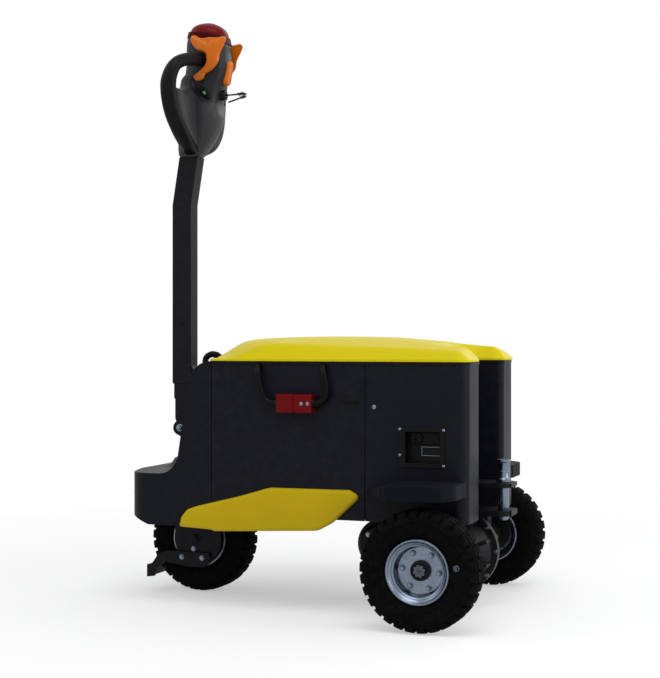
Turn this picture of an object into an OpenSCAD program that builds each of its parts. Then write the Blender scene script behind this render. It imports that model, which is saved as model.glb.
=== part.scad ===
// Walk-behind electric tow tug: steered front wheel under a tiller, two driven rear wheels,
// battery body with a lift-off hood, and a pin hitch in the notch at the back.
// +Z is up, the tiller is at -X, the hitch at +X, and the origin is on the ground at mid-wheelbase.

/* [Wheels] */
// Outside diameter of the tyres over the lugs
tyre_d = 260; // [250:2:266]
// Width of a tyre at its widest
tyre_w = 86; // [78:1:90]
// Diameter of the rim flanges
rim_d = 140; // [132:2:146]
// Number of lugs round each shoulder of a tyre
lugs = 30; // [24:1:33]
// Distance between the front and rear axles
wheelbase = 650; // [640:5:680]
// Distance between the centres of the rear tyres
track = 640; // [630:5:660]

/* [Body] */
// Width of the body over its side panels
body_w = 450; // [440:5:460]
// Height of the line where the hood sits on the body
hood_z = 568; // [555:1:585]
// Height of the hood's crown above that line
hood_rise = 57; // [48:1:66]
// Height of the underside of the body
belly_z = 215; // [213:1:220]
// Thickness of the body's sheet metal
sheet = 5; // [4:0.5:6]
// Width of the notch at the back, between the two lobes
notch_w = 224; // [200:2:240]
// Depth of that notch
notch_d = 100; // [80:2:110]
// Height of the nose over the front wheel
nose_z = 305; // [300:1:312]

/* [Hitch] */
// Diameter of the tow pin
tow_pin_d = 25; // [20:1:28]
// Clear height between the two hitch plates
tow_gap = 52; // [46:1:56]

/* [Tiller] */
// Height of the tiller's pivot
pivot_z = 399; // [395:1:404]
// Height of the bend in the tiller tube
bend_z = 950; // [900:5:1000]
// Height of the foot of the tiller head
head_z = 1068; // [1050:2:1090]
// Lean of the tiller head towards the body
head_lean = 9; // [6:0.5:12]
// Reach of the hand loops to each side
loop_y = 145; // [138:1:155]

/* [Hidden] */
$fn = 64;

// Colours
navy = [0.09, 0.095, 0.13];
hood_yellow = [0.88, 0.84, 0.12];
skirt_yellow = [0.75, 0.67, 0.08];
black = [0.05, 0.05, 0.055];
rubber = [0.04, 0.04, 0.045];
zinc = [0.66, 0.70, 0.76];
cast_grey = [0.42, 0.43, 0.45];
dark_grey = [0.16, 0.17, 0.19];
orange = [0.86, 0.51, 0.08];
red = [0.68, 0.08, 0.10];

// Wheels and the places they set
wheel_r = tyre_d / 2;
axle_x = wheelbase / 2;
steer_x = -axle_x;
wheel_y = track / 2;
rim_r = rim_d / 2;
seat_r = rim_r - 12.5;
rim_half = 36;
bore_gap = 0.3;

// Body
half_w = body_w / 2;
inner_w = half_w - sheet;
nose_x = -(axle_x + wheel_r) + 1;
rear_x = axle_x + 75;
notch_x = rear_x - notch_d;
notch_half = notch_w / 2;
seam_front = steer_x + 119;
seam_rear = axle_x - 157;
seam_gap = 1;
skirt_z = belly_z - 30;
floor_z = belly_z + 2;
lobe_r = 28;
sweep_r = sqrt(pow(wheel_r, 2) + pow(tyre_w / 2, 2));
bulkhead_x = steer_x + sweep_r + 8;
nose_r = 48;
nose_arc = 555;
nose_mid = nose_x + nose_arc;
nose_corner_x = nose_mid - sqrt(pow(nose_arc - nose_r, 2) - pow(half_w - nose_r, 2));
cove_r = 50;
cove_x = steer_x - 15;
brow_r = 58;
wall_lean = 10;

// Steering and tiller
stem_r = 18;
crown_z = wheel_r + wheel_r + 8;
crown_t = 14;
column_r = 24;
housing_top = nose_z + 37;
column_z = housing_top + 5;
leg_in = tyre_w / 2 + 7;
leg_t = 8;
leg_out = leg_in + leg_t;
pivot_x = steer_x - 57;
pivot_r = 8;
ear_r = 18;
foot_half = 18;
ear_in = foot_half + 0.5;
ear_t = 8;
arm_x0 = pivot_x - 23;
arm_x1 = pivot_x + 27;
arm_half = 20;
arm_foot_z = pivot_z + 109;
foot_z = pivot_z + ear_r + 6;
column_top = pivot_z + 149;

// Hitch
tow_x = axle_x + 103;
plate_low_t = 13;
plate_up_t = 10;
plate_low_z = belly_z;
plate_up_z = plate_low_z + plate_low_t + tow_gap;
plate_half = 45;
plate_end = axle_x + wheel_r - 2;

// Rear wheel, measured outwards from the middle of the tyre
disc_out = 3;
disc_t = 5;
hub_flange_t = 10;
shaft_r = 17;
tube_end = wheel_y - 18;

// Charge port, battery connector and cable places on the left side
port_x = axle_x - 25;
port_z = hood_z - 187;
port_w = 84;
port_h = 74;
port_deep = 26;
plug_x = 9;
plug_z = hood_z - 94;
plug_w = 84;
plug_h = 45;
plug_t = 30;
lead_r = 7;
lead_left_x = plug_x - 95;
lead_right_x = plug_x + 62;
lead_z = hood_z - 11;

// Points of an arc in the plane, from angle a0 to a1 in n steps
function arc(c, r, a0, a1, n = 8) =
    [for (i = [0:n]) let (a = a0 + (a1 - a0) * i / n) c + r * [cos(a), sin(a)]];

// Point on a smooth curve through the points p, at u between 0 and len(p) - 1
function curve_at(p, u) =
    let (n = len(p), i = min(floor(u), n - 2), f = u - i,
        a = p[max(i - 1, 0)], b = p[i], c = p[i + 1], d = p[min(i + 2, n - 1)])
    0.5 * (2 * b + (c - a) * f + (2 * a - 5 * b + 4 * c - d) * f * f
        + (3 * b - a - 3 * c + d) * f * f * f);
function curve(p, steps) =
    [for (k = [0:steps]) curve_at(p, (len(p) - 1) * k / steps)];

function unit(v) = v / norm(v);
function tangent(p, i) = unit(p[min(i + 1, len(p) - 1)] - p[max(i - 1, 0)]);

// Closed skin over rings that have the same number of points, each counter-clockwise as the next sees it
module skin(rings) {
    n = len(rings[0]);
    m = len(rings);
    polyhedron(
        points = [for (ring = rings) each ring],
        faces = concat(
            [[for (j = [0:n - 1]) j]],
            [[for (j = [n - 1:-1:0]) (m - 1) * n + j]],
            [for (i = [0:m - 2], j = [0:n - 1]) let (k = (j + 1) % n)
                each [[i * n + j, (i + 1) * n + k, i * n + k],
                    [i * n + j, (i + 1) * n + j, (i + 1) * n + k]]]),
        convexity = 6);
}

// Closed skin over rings that stand round an axle, where the last meets the first
module band(rings) {
    n = len(rings[0]);
    m = len(rings);
    polyhedron(
        points = [for (ring = rings) each ring],
        faces = [for (i = [0:m - 1], j = [0:n - 1]) let (h = (i + 1) % m, k = (j + 1) % n)
            each [[i * n + j, h * n + k, i * n + k], [i * n + j, h * n + j, h * n + k]]],
        convexity = 6);
}

// Tube along a path: r gives the half-sizes across and along 'side' at each path point
module sweep(path, r, side, sides = 12) {
    skin([for (i = [0:len(path) - 1])
        let (t = tangent(path, i), b = unit(side - t * (side * t)), a = cross(b, t))
        [for (j = [0:sides - 1]) let (w = 360 * j / sides)
            path[i] + r[i][0] * cos(w) * a + r[i][1] * sin(w) * b]]);
}

// Lay a drawing in the XZ plane and give it a thickness across Y, from y0 to y1
module across(y0, y1) {
    translate([0, y1, 0]) rotate([90, 0, 0]) linear_extrude(y1 - y0) children();
}

// A shaft along Y at x, z, from y0 to y1
module shaft(x, z, r, y0, y1) {
    translate([x, y1, z]) rotate([90, 0, 0]) cylinder(r = r, h = y1 - y0);
}

// Revolve a drawing of (radius, outward place) about an axle that runs along Y; out is 1 or -1
module axle_spin(x, y, out) {
    translate([x, y, wheel_r]) rotate([-90 * out, 0, 0]) rotate_extrude($fn = 96) children();
}

// The right-hand piece is the left-hand one mirrored
module right_hand() {
    mirror([0, 1, 0]) children();
}

// Body

// Side view of the cowl: nose, cove up to the front wall, and brow under the hood, inset by t
module cowl_side(t) {
    open = t > 0 ? 1 : 0;
    rear = seam_front + 20 * open;
    brow_z = hood_z - brow_r;
    chin = skirt_z + 0.4 * (steer_x - 42 - nose_x);
    polygon(concat(
        [[rear, skirt_z - 60 * open], [steer_x - 42 - 20 * open, skirt_z - 60 * open],
            [nose_x + t, chin - 60 * open], [nose_x + t, nose_z - 10]],
        arc([nose_x + 10, nose_z - 10], 10 - t, 180, 90, 4),
        arc([cove_x, nose_z + cove_r], cove_r + t, -90, -wall_lean),
        arc([seam_front, brow_z], brow_r - t, 180 - wall_lean, 90),
        [[rear, hood_z - t]]));
}

// Plan of the nose: bowed front between round corners, inset by t
module cowl_plan(t) {
    corner = [nose_corner_x, half_w - nose_r];
    tilt = atan2(corner[1], nose_mid - corner[0]);
    half = concat(
        arc([nose_mid, 0], nose_arc - t, 180, 180 - tilt, 10),
        arc(corner, nose_r - t, 180 - tilt, 90, 8),
        [[seam_front + 30, half_w - t]]);
    polygon(concat(half, [for (i = [len(half) - 1:-1:1]) [half[i][0], -half[i][1]]]));
}

module cowl_solid(t) {
    intersection() {
        across(-half_w, half_w) cowl_side(t);
        linear_extrude(hood_z + 1) cowl_plan(t);
    }
}

module front_cowl() {
    color(navy) difference() {
        cowl_solid(0);
        cowl_solid(sheet);
        translate([steer_x, 0, nose_z - 20]) cylinder(r = 30, h = 60);
        translate([seam_front - 24, 0, hood_z - 20]) rotate([0, -90, 0]) cylinder(r = cable_r + bore_gap, h = 60);
    }
}

// Plan of the rear body: two lobes with a notch between them, inset by t
module rear_plan(t) {
    half = concat(
        [[notch_x - t, 0], [notch_x - t, notch_half + t]],
        arc([rear_x - 14, notch_half + 14], 14 - t, -90, 0, 4),
        arc([rear_x - lobe_r, half_w - lobe_r], lobe_r - t, 0, 90, 8),
        [[seam_rear - 40 * (t > 0 ? 1 : 0), half_w - t]]);
    polygon(concat(half, [for (i = [len(half) - 1:-1:1]) [half[i][0], -half[i][1]]]));
}

module rear_shell() {
    difference() {
        linear_extrude(hood_z - belly_z) rear_plan(0);
        translate([0, 0, -1]) linear_extrude(hood_z) rear_plan(sheet);
    }
}

// One side of the rear body: side wall, lobe's back and the wall of the notch
module rear_panel() {
    difference() {
        translate([0, 0, belly_z]) rear_shell();
        translate([0, 0, belly_z - 1]) linear_extrude(hood_z)
            translate([0, -notch_half]) square([rear_x, body_w]);
    }
}

module rear_panel_left() {
    color(navy) difference() {
        rear_panel();
        translate([port_x - port_w / 2, -half_w - 1, port_z - port_h / 2])
            cube([port_w, sheet + 2, port_h]);
    }
}

module rear_panel_right() {
    color(navy) right_hand() rear_panel();
}

module rear_wall() {
    color(navy) translate([notch_x - sheet, -notch_half, belly_z])
        cube([sheet, notch_w, hood_z - belly_z]);
}

module mid_panel() {
    translate([seam_front + seam_gap, -half_w, belly_z])
        cube([seam_rear - seam_front - 2 * seam_gap, sheet, hood_z - belly_z]);
}

module mid_panel_left() {
    color(navy) difference() {
        mid_panel();
        for (x = [lead_left_x, lead_right_x]) {
            shaft(x, lead_z, lead_r + 1, -half_w - 1, -inner_w + 1);
            translate([x - lead_r - 1, -half_w - 1, lead_z]) cube([2 * lead_r + 2, sheet + 2, 40]);
        }
    }
}

module mid_panel_right() {
    color(navy) right_hand() mid_panel();
}

// Floor, bulkhead behind the front wheel, and the posts behind the panel seams
module base_pan() {
    post_h = hood_z - floor_z - 12;
    color(black) {
        translate([0, 0, floor_z]) linear_extrude(sheet) difference() {
            union() {
                rear_plan(sheet);
                translate([bulkhead_x, -inner_w])
                    square([seam_rear - bulkhead_x, 2 * inner_w]);
            }
            translate([bulkhead_x - 200, -half_w]) square([200, body_w]);
        }
        translate([bulkhead_x, -inner_w, floor_z]) cube([sheet, 2 * inner_w, post_h]);
        for (side = [-1, 1], x = [seam_front, seam_rear])
            translate([x - 24, side * (inner_w - 4) - 4, floor_z + (x < 0 ? 60 : 0)])
                cube([x < 0 ? bulkhead_x - x + 26 : 48, 8, post_h - (x < 0 ? 60 : 0)]);
    }
}

// Yellow plate along the lower side, drawn as the outline it has in side view
module skirt_outline() {
    front = seam_front - 79;
    rear = seam_rear - 10;
    top = skirt_z + 98;
    offset(r = 7, $fn = 24) offset(delta = -7) polygon([[front, skirt_z - 1], [front + 6, skirt_z + 23],
        [front + 21, skirt_z + 40], [front + 44, skirt_z + 48], [front + 152, top - 23], [front + 226, top - 1],
        [rear - 25, top], [rear, top - 15], [rear - 66, skirt_z + 23], [rear - 101, skirt_z + 4],
        [front + 89, skirt_z - 8], [front + 78, skirt_z - 4]]);
}

module skirt() {
    across(-half_w - 9, -half_w) skirt_outline();
    across(-half_w - 13, -half_w - 9) offset(delta = -4) skirt_outline();
}

module skirt_left() {
    color(skirt_yellow) skirt();
}

module skirt_right() {
    color(skirt_yellow) right_hand() skirt();
}

// Mudguard over a rear wheel: a shallow tray, open below, with a sloping front
fender_top = wheel_r * 2 + 49;
fender_low = wheel_r * 2 + 18;
fender_out = wheel_y + 40;
fender_wall = 5;

module fender_plan(t) {
    polygon(concat(
        [[seam_rear + 4 + 3 * t, -half_w + 1], [axle_x - 84 + t, -fender_out + 14 + t / 2]],
        arc([axle_x - 62, -fender_out + 18 + t], 18, 200, 270, 4),
        arc([rear_x - 60, -fender_out + 58], 58 - t, 270, 360, 8),
        [[rear_x - 2 - t, -half_w + 1]]));
}

module fender_side(t) {
    polygon([[seam_rear - 5 + 3 * t, fender_low - 10 * (t > 0 ? 1 : 0)],
        [rear_x + 5, fender_low - 10 * (t > 0 ? 1 : 0)], [rear_x + 5, fender_top - t],
        [axle_x - 76, fender_top - t], [seam_rear + 2 + 2 * t, fender_low + 6]]);
}

module fender_solid(t) {
    intersection() {
        translate([0, 0, fender_low - 20]) linear_extrude(80) fender_plan(t);
        across(-fender_out - 10, -half_w) fender_side(t);
    }
}

module fender() {
    difference() {
        fender_solid(0);
        fender_solid(fender_wall);
    }
}

module fender_left() {
    color(navy) fender();
}

module fender_right() {
    color(navy) right_hand() fender();
}

// Hood: a crowned cover with a sloping front, two lobes at the back and a valley between them
hood_front = seam_front - 12;
hood_back = rear_x + 4;
hood_half = half_w + 3;
hood_wall = 5;
hood_lip = 6;
hood_corner = 30;
crown_x = steer_x + 350;

function hood_ease(a, b, x) = let (f = max(0, min(1, (x - a) / (b - a)))) f * f * (3 - 2 * f);
// Height of the hood's dome above its rim at x, where f is the share of the half-width: the front is bowed
function hood_dome(x, f) =
    let (fall = x > crown_x ? 17 * pow((x - crown_x) / 350, 2) : 5 * pow((crown_x - x) / 130, 2),
        bow = hood_lip + (hood_rise + 6) * hood_ease(hood_front - 135, hood_front + 80, x - 152 * f * f) - 7,
        front = min(bow, hood_lip + 1.1 * (x - hood_front)),
        end = 28 * pow(max(0, x - hood_back + 44) / 44, 2.4))
    max(hood_lip, min(hood_rise - fall - end, front));
// Height of the hood's skin above its rim at x, at the place y of its half-width w
function hood_skin(x, y, w) =
    let (f = abs(y) / w, mid = hood_dome(x, f),
        valley = 12 * hood_ease(axle_x - 150, notch_x + 10, x) * (1 - hood_ease(0, notch_half, abs(y))))
    max(hood_lip / 2,
        hood_lip + (mid - hood_lip) * (1 - 0.32 * pow(f, 2)) * pow(max(0, 1 - pow(f, 9)), 0.5) - valley);
function hood_width(x, t) =
    let (r = hood_corner, a = max(0, x - (hood_back - r)), b = max(0, hood_front + r - x))
    hood_half - t - (r - sqrt(max(0, r * r - a * a))) - (r - sqrt(max(0, r * r - b * b)));

module hood_solid(t) {
    steps = 26;
    points = 24;
    x0 = hood_front + t + 0.5;
    x1 = hood_back - t - 0.5;
    past = 14;
    low = hood_z + 0.3 - (t > 0 ? 10 : 0);
    intersection() {
        skin([for (i = [0:steps])
            let (s = i / steps, x = x0 - past + (x1 - x0 + 2 * past) * (s - 0.12 * sin(360 * s) / 1.6),
                w = hood_width(x, t))
            concat([[x, w, low]],
                [for (j = [0:points]) let (y = w * sin(90 - 180 * j / points))
                    [x, y, hood_z + 0.3 + hood_skin(x, y, w) - t]],
                [[x, -w, low]])]);
        translate([x0, -hood_half - past, low - past]) cube([x1 - x0, 2 * (hood_half + past), 200]);
    }
}

module hood_notch(t) {
    translate([0, 0, hood_z - 20]) linear_extrude(hood_rise + 60) polygon(concat(
        arc([notch_x + 40 + 4, notch_half - 34], 34 + t, 180, 90, 6),
        [[rear_x - 20, notch_half + t], [hood_back + 20, notch_half + 26 + t],
            [hood_back + 20, -notch_half - 26 - t], [rear_x - 20, -notch_half - t]],
        arc([notch_x + 40 + 4, 34 - notch_half], 34 + t, 270, 180, 6)));
}

module hood() {
    color(hood_yellow) difference() {
        hood_solid(0);
        hood_notch(0);
        difference() {
            hood_solid(hood_wall);
            hood_notch(hood_wall);
        }
    }
}

// Battery block under the hood
battery_gap = 12;
battery_half = half_w - 75;
battery_h = hood_z - floor_z - 60;

module battery() {
    color(dark_grey) translate([bulkhead_x + battery_gap, -battery_half, floor_z + sheet])
        cube([seam_rear - bulkhead_x - 3 * battery_gap, 2 * battery_half, battery_h]);
}

// Recessed charging pocket with a rim that laps over the panel
module charge_port() {
    color(black) difference() {
        union() {
            translate([port_x - port_w / 2 - 9, -half_w - 3, port_z - port_h / 2 - 7])
                cube([port_w + 18, 3, port_h + 14]);
            translate([port_x - port_w / 2, -half_w, port_z - port_h / 2])
                cube([port_w, port_deep, port_h]);
        }
        translate([port_x - port_w / 2 + 3, -half_w - 4, port_z - port_h / 2 + 3])
            cube([port_w - 6, port_deep, port_h - 6]);
    }
}

// Mated pair of battery plugs on the left panel
module battery_connector() {
    half_len = plug_w / 2;
    color(red) for (side = [-1, 1]) translate([plug_x, 0, plug_z])
        across(-half_w - plug_t, -half_w) difference() {
            polygon([[side * 1, -plug_h / 2], [side * 12, -plug_h / 2], [side * 14, -plug_h / 2 + 4],
                [side * half_len, -plug_h / 2 + 4], [side * half_len, plug_h / 2 - 4],
                [side * 14, plug_h / 2 - 4], [side * 12, plug_h / 2], [side * 1, plug_h / 2]]);
            translate([side * (half_len - 18), 0]) circle(r = 4);
        }
    color(red) translate([plug_x - 3, -half_w - plug_t + 5, plug_z - plug_h / 2 + 6])
        cube([6, plug_t - 10, plug_h - 12]);
}

// Leads from under the hood's edge down into the ends of the plugs
lead_y = -half_w - plug_t / 2;
lead_end = plug_w / 2 + 0.2;
lead_in = lead_end - 8;
lead_left = [[lead_left_x, -inner_w + 12, lead_z], [lead_left_x, -half_w - 2, lead_z],
    [lead_left_x + 3, lead_y, lead_z - 14], [lead_left_x + 8, lead_y, lead_z - 46],
    [lead_left_x + 22, lead_y, plug_z + 8], [plug_x - lead_end - 10, lead_y, plug_z],
    [plug_x - lead_in, lead_y, plug_z]];
lead_right = [[lead_right_x, -inner_w + 12, lead_z], [lead_right_x, -half_w - 2, lead_z],
    [lead_right_x + 4, lead_y, lead_z - 14], [lead_right_x + 10, lead_y, lead_z - 46],
    [lead_right_x + 8, lead_y, plug_z + 12], [plug_x + lead_end + 10, lead_y, plug_z],
    [plug_x + lead_in, lead_y, plug_z]];

module battery_cables() {
    color(black) difference() {
        union() for (route = [lead_left, lead_right]) {
            path = curve(route, 24);
            sweep(path, [for (p = path) [lead_r, lead_r]], [0.3, 0.2, 0.93], 10);
        }
        translate([plug_x - lead_end, lead_y - plug_t, plug_z - plug_h])
            cube([2 * lead_end, 2 * plug_t, 2 * plug_h]);
    }
}

// Control lead from the cowl, over and down into the hollow top of the steering column
cable_r = 8;
control_route = [[seam_front - 20, 0, hood_z - 20], [seam_front - 40, 0, hood_z - 20],
    [seam_front - 60, 0, hood_z - 18], [seam_front - 76, 0, hood_z + 3], [seam_front - 97, 0, hood_z + 13],
    [steer_x + 3, 0, hood_z + 4], [steer_x, 0, column_top], [steer_x, 0, column_top - 24]];

module control_cable() {
    path = curve(control_route, 28);
    color(black) sweep(path, [for (p = path) [cable_r, cable_r]], [0, 1, 0], 12);
}

// Steering

// Bearing mound on the nose, shaped to the cove behind it
mound_r = 104;

module steer_housing() {
    color(navy) difference() {
        translate([steer_x, 0, 0]) union() {
            rotate_extrude() polygon(concat(
                [[stem_r + bore_gap, nose_z - sheet - 8], [30 - bore_gap, nose_z - sheet - 8],
                    [30 - bore_gap, nose_z], [mound_r, nose_z]],
                arc([mound_r, nose_z + 30], 30, -90, -160, 6),
                [[stem_r + 14, housing_top], [stem_r + bore_gap, housing_top]]));
        }
        difference() {
            across(-half_w, half_w) cowl_side(0);
            translate([steer_x, 0, 0]) cylinder(r = 30, h = nose_z);
        }
    }
}

// Fork over the front wheel, with the stem that turns in the housing
module fork() {
    color(black) difference() {
        union() {
            translate([steer_x, 0, crown_z]) cylinder(r = stem_r, h = column_z + 49 - crown_z);
            translate([steer_x - 60, -leg_out, crown_z]) cube([120, 2 * leg_out, crown_t]);
            for (side = [-1, 1]) across(side < 0 ? -leg_out : leg_in, side < 0 ? -leg_in : leg_out)
                union() {
                    translate([steer_x + 8, wheel_r]) circle(r = 61);
                    polygon([[steer_x - 53, wheel_r], [steer_x + 69, wheel_r],
                        [steer_x + 60, crown_z + crown_t], [steer_x - 60, crown_z + crown_t]]);
                }
        }
        shaft(steer_x, wheel_r, 10 + 0.1, -leg_out - 1, leg_out + 1);
    }
}

module front_axle() {
    color(zinc) {
        shaft(steer_x, wheel_r, 10, -leg_out - 6, leg_out + 6);
        for (side = [-1, 1]) translate([steer_x, side * (leg_out + 4) + 4, wheel_r])
            rotate([90, 0, 0]) cylinder(r = 15, h = 8, $fn = 6);
    }
}

// Bar round the front of the wheel that keeps feet out
module foot_guard() {
    guard_x = nose_x + 2;
    arm = [[steer_x + 24, 64], [steer_x + 41, 74], [steer_x + 45, 88], [steer_x + 38, 100],
        [steer_x - 72, 100], [steer_x - 96, 92], [steer_x - 114, 66], [guard_x, 64], [guard_x, 34],
        [steer_x - 108, 36], [steer_x - 92, 64], [steer_x - 76, 72], [steer_x - 50, 70], [steer_x - 20, 64]];
    color(black) {
        across(-leg_out - 8, -leg_out) polygon(arm);
        across(leg_out, leg_out + 8) polygon(arm);
        translate([guard_x, -leg_out - 8, 34]) cube([6, 2 * leg_out + 16, 30]);
    }
}

// Column with the ears that carry the tiller
module steer_head() {
    color(black) difference() {
        union() {
            translate([steer_x, 0, column_z]) cylinder(r = column_r + 4, h = 16);
            translate([steer_x, 0, column_z]) cylinder(r = column_r, h = column_top - column_z - 60);
            translate([steer_x, 0, column_z]) cylinder(r = 20, h = column_top - column_z);
            for (side = [-1, 1])
                across(side < 0 ? -ear_in - ear_t : ear_in, side < 0 ? -ear_in : ear_in + ear_t) union() {
                    translate([pivot_x, pivot_z]) circle(r = ear_r);
                    polygon([[pivot_x - 4, pivot_z - ear_r], [steer_x, column_z + 2],
                        [steer_x, pivot_z + 50], [steer_x - 20, pivot_z + 50],
                        [pivot_x + 6, pivot_z + ear_r]]);
                }
        }
        translate([steer_x, 0, column_z - 1]) cylinder(r = stem_r + 0.1, h = 51);
        translate([steer_x, 0, column_top - 40]) cylinder(r = 14, h = 50);
        shaft(pivot_x, pivot_z, pivot_r + 0.1, -60, 60);
    }
}

module tiller_pin() {
    reach = ear_in + ear_t;
    color(zinc) {
        shaft(pivot_x, pivot_z, pivot_r, -reach - 8, reach + 8);
        for (side = [-1, 1]) translate([pivot_x, side * (reach + 3.5) + 3.5, pivot_z])
            rotate([90, 0, 0]) cylinder(r = 13, h = 7, $fn = 6);
    }
}

// Tiller tube with its foot between the ears
function arm_lean(z) = (z - bend_z) * tan(head_lean);

module arm_outline(t) {
    polygon([[arm_x0 + t, arm_foot_z + t], [arm_x1 - t, arm_foot_z + t], [arm_x1 - t, bend_z],
        [arm_x1 - t + arm_lean(head_z), head_z], [arm_x0 + t + arm_lean(head_z), head_z],
        [arm_x0 + t, bend_z]]);
}

module tiller_arm() {
    color(black) difference() {
        union() {
            difference() {
                across(-arm_half, arm_half) arm_outline(0);
                across(-arm_half + 4, arm_half - 4) arm_outline(4);
            }
            across(-foot_half, foot_half) union() {
                translate([pivot_x, pivot_z]) circle(r = 15);
                polygon([[pivot_x - 17, foot_z], [pivot_x - 10, pivot_z], [pivot_x + 14, pivot_z],
                    [pivot_x + 20, foot_z], [pivot_x + 23, foot_z + 8], [pivot_x + 23, arm_foot_z + 2],
                    [pivot_x - 20, arm_foot_z + 2], [pivot_x - 20, arm_foot_z - 36],
                    [pivot_x - 17, arm_foot_z - 38]]);
            }
            across(-foot_half, foot_half) polygon([[arm_x1 - 1, arm_foot_z], [arm_x1 + 9, arm_foot_z + 12],
                [arm_x1 + 9, arm_foot_z + 32], [arm_x1 - 1, arm_foot_z + 46]]);
        }
        shaft(pivot_x, pivot_z, pivot_r + 0.2, -60, 60);
    }
}

// Tiller head

// Ring of the moulded head at height z: middle at x, half-sizes hx and hy; tilt leans it square to the axis
function oval(z, x, hx, hy, tilt, power = 0.7, n = 24) =
    [for (j = [0:n - 1]) let (a = 360 * j / n, c = cos(a), s = sin(a),
            px = x + hx * sign(c) * pow(abs(c), power))
        [px, hy * sign(s) * pow(abs(s), power), z - tilt * tan(head_lean) * (px - head_x(z))]];
function head_x(z) = (arm_x0 + arm_x1) / 2 + arm_lean(z);
// Height above the foot of the head, shift, half-sizes and tilt of its sections
head_sections = [[0, 0, 30, 25, 0], [22, 4, 39, 32, 0], [55, 11, 48, 40, 0], [95, 13, 53, 45, 0],
    [128, 9, 49, 45, 0.3], [172, 9, 50, 45, 0.6], [222, 12, 53, 46, 1], [260, 6, 53, 46, 1],
    [284, 3, 51, 45, 1], [298, 1, 49, 43, 1]];
head_top = head_z + 298;

module head_solid() {
    skin([for (k = [0:2 * (len(head_sections) - 1)])
        let (s = curve_at(head_sections, k / 2), z = head_z + s[0])
        oval(z, head_x(z) + s[1], s[2], s[3], s[4])]);
}

// Web that closes the lower part of the loops, seen along X as (reach, height above the foot of the head)
web_half = 22;
web_edge = [[36, 22], [loop_y - 73, 37], [loop_y - 41, 64], [loop_y - 18, 98], [loop_y - 6, 148],
    [loop_y - 16, 155], [loop_y - 45, 151], [loop_y - 71, 157], [58, 171], [44, 196]];

module head_web() {
    translate([head_x(head_z + 70) - web_half, 0, head_z]) rotate([90, 0, 90]) linear_extrude(2 * web_half)
        polygon(concat(web_edge, [for (i = [len(web_edge) - 1:-1:0]) [-web_edge[i][0], web_edge[i][1]]]));
}

module head_body() {
    head_solid();
    head_web();
}

module tiller_head() {
    color(dark_grey) union() head_body();
}

// Belly switch: red cap over the top of the head
module belly_switch() {
    cap = [[0, 47, 41], [10, 45, 39], [19, 38, 33], [26, 26, 23], [31, 10, 9]];
    color(red) skin([for (s = cap) let (z = head_top + s[0])
        oval(z, head_x(z) + 1, s[1], s[2], 1, 0.85)]);
}

// Hand loops: a round grip swept back from the head, turning down into a broad guard that meets its foot,
// as (shift from the axis, reach, height above the foot of the head)
loop_route = [[10, 30, 234], [4, 75, 229], [-5, loop_y - 33, 221], [-14, loop_y - 9, 204],
    [-19, loop_y, 172], [-15, loop_y - 2, 137], [-6, loop_y - 14, 97], [3.5, loop_y - 39, 62],
    [9, loop_y - 73, 35], [8, loop_y - 109, 20], [7, 10, 15]];
grip_r = 15.5;
guard_half = 19;
guard_t = 13;

module hand_loop() {
    steps = 36;
    route = [for (p = loop_route) let (z = head_z + p[2]) [head_x(z) + p[0], -p[1], z]];
    path = curve(route, steps);
    sweep(path, [for (i = [0:steps]) let (f = hood_ease(8, 16, i))
        [grip_r + (guard_t - grip_r) * f, grip_r + (guard_half - grip_r) * f]], [1, 0, 0.1], 14);
}

module hand_loops() {
    color(dark_grey) difference() {
        union() {
            hand_loop();
            right_hand() hand_loop();
        }
        head_body();
    }
}

// Thumb paddles on both flanks of the head, shaped as a butterfly that clears the grip
paddle_y = 48;
paddle_z = head_z + 232;
paddle_x = head_x(paddle_z) + 34;

module paddle() {
    across(-paddle_y - 12, -paddle_y - 2) offset(r = 4, $fn = 24) offset(delta = -4)
        translate([paddle_x, paddle_z]) polygon([[-48, 58], [-38, 60], [-22, 52], [0, 53], [20, 51], [36, 53],
            [46, 51], [42, 38], [28, 11], [24, -8], [8, -26], [-10, -36], [-17, -47], [-32, -52], [-43, -41],
            [-30, -31], [-9, -14], [-8, 12], [-34, 25], [-48, 44]]);
    shaft(paddle_x, paddle_z + 6, 9, -paddle_y - 6, -20);
}

module thumb_paddles() {
    color(orange) difference() {
        union() {
            paddle();
            right_hand() paddle();
        }
        head_solid();
    }
}

// Long button on the face of the head that looks to the body
button_z = head_z + 213;
button_out = 73;

module head_button() {
    color(orange) difference() {
        translate([head_x(button_z), 0, button_z]) rotate([0, 90 + head_lean, 0])
            linear_extrude(button_out) hull() for (s = [-18, 18]) translate([s, 0]) circle(r = 13, $fn = 32);
        head_solid();
    }
}

// Key switch with its flat key
key_z = head_z + 150;

module key_switch() {
    color(black) difference() {
        translate([head_x(key_z), 0, key_z]) {
            rotate([0, 90, 0]) cylinder(r = 13, h = 70);
            translate([66, -4, -1.5]) cube([30, 8, 3]);
            translate([106, 0, -1.5]) cylinder(r = 13, h = 3);
        }
        head_solid();
    }
}

// Wheels

// Tyre with V notches between the lugs of its shoulders; a lug stands at the bottom
lug_deep = 7;
notch_share = 0.17;

// Cross-section of the tyre as (radius, place): beads inside the rim flanges, upright sidewalls and a flat
// tread, with the shoulders drawn in by cut
function tyre_section(cut) =
    let (bead = rim_half - 7, wide = tyre_w / 2,
        half = [[seat_r + bore_gap, bead], [rim_r + 1, bead + 0.5], [rim_r + 15, wide],
            [wheel_r - 14 - cut / 3, wide - 2 - cut / 2], [wheel_r - cut, wide / 2 - cut / 4]])
    concat(half, [for (i = [len(half) - 1:-1:0]) [half[i][0], -half[i][1]]]);

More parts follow.
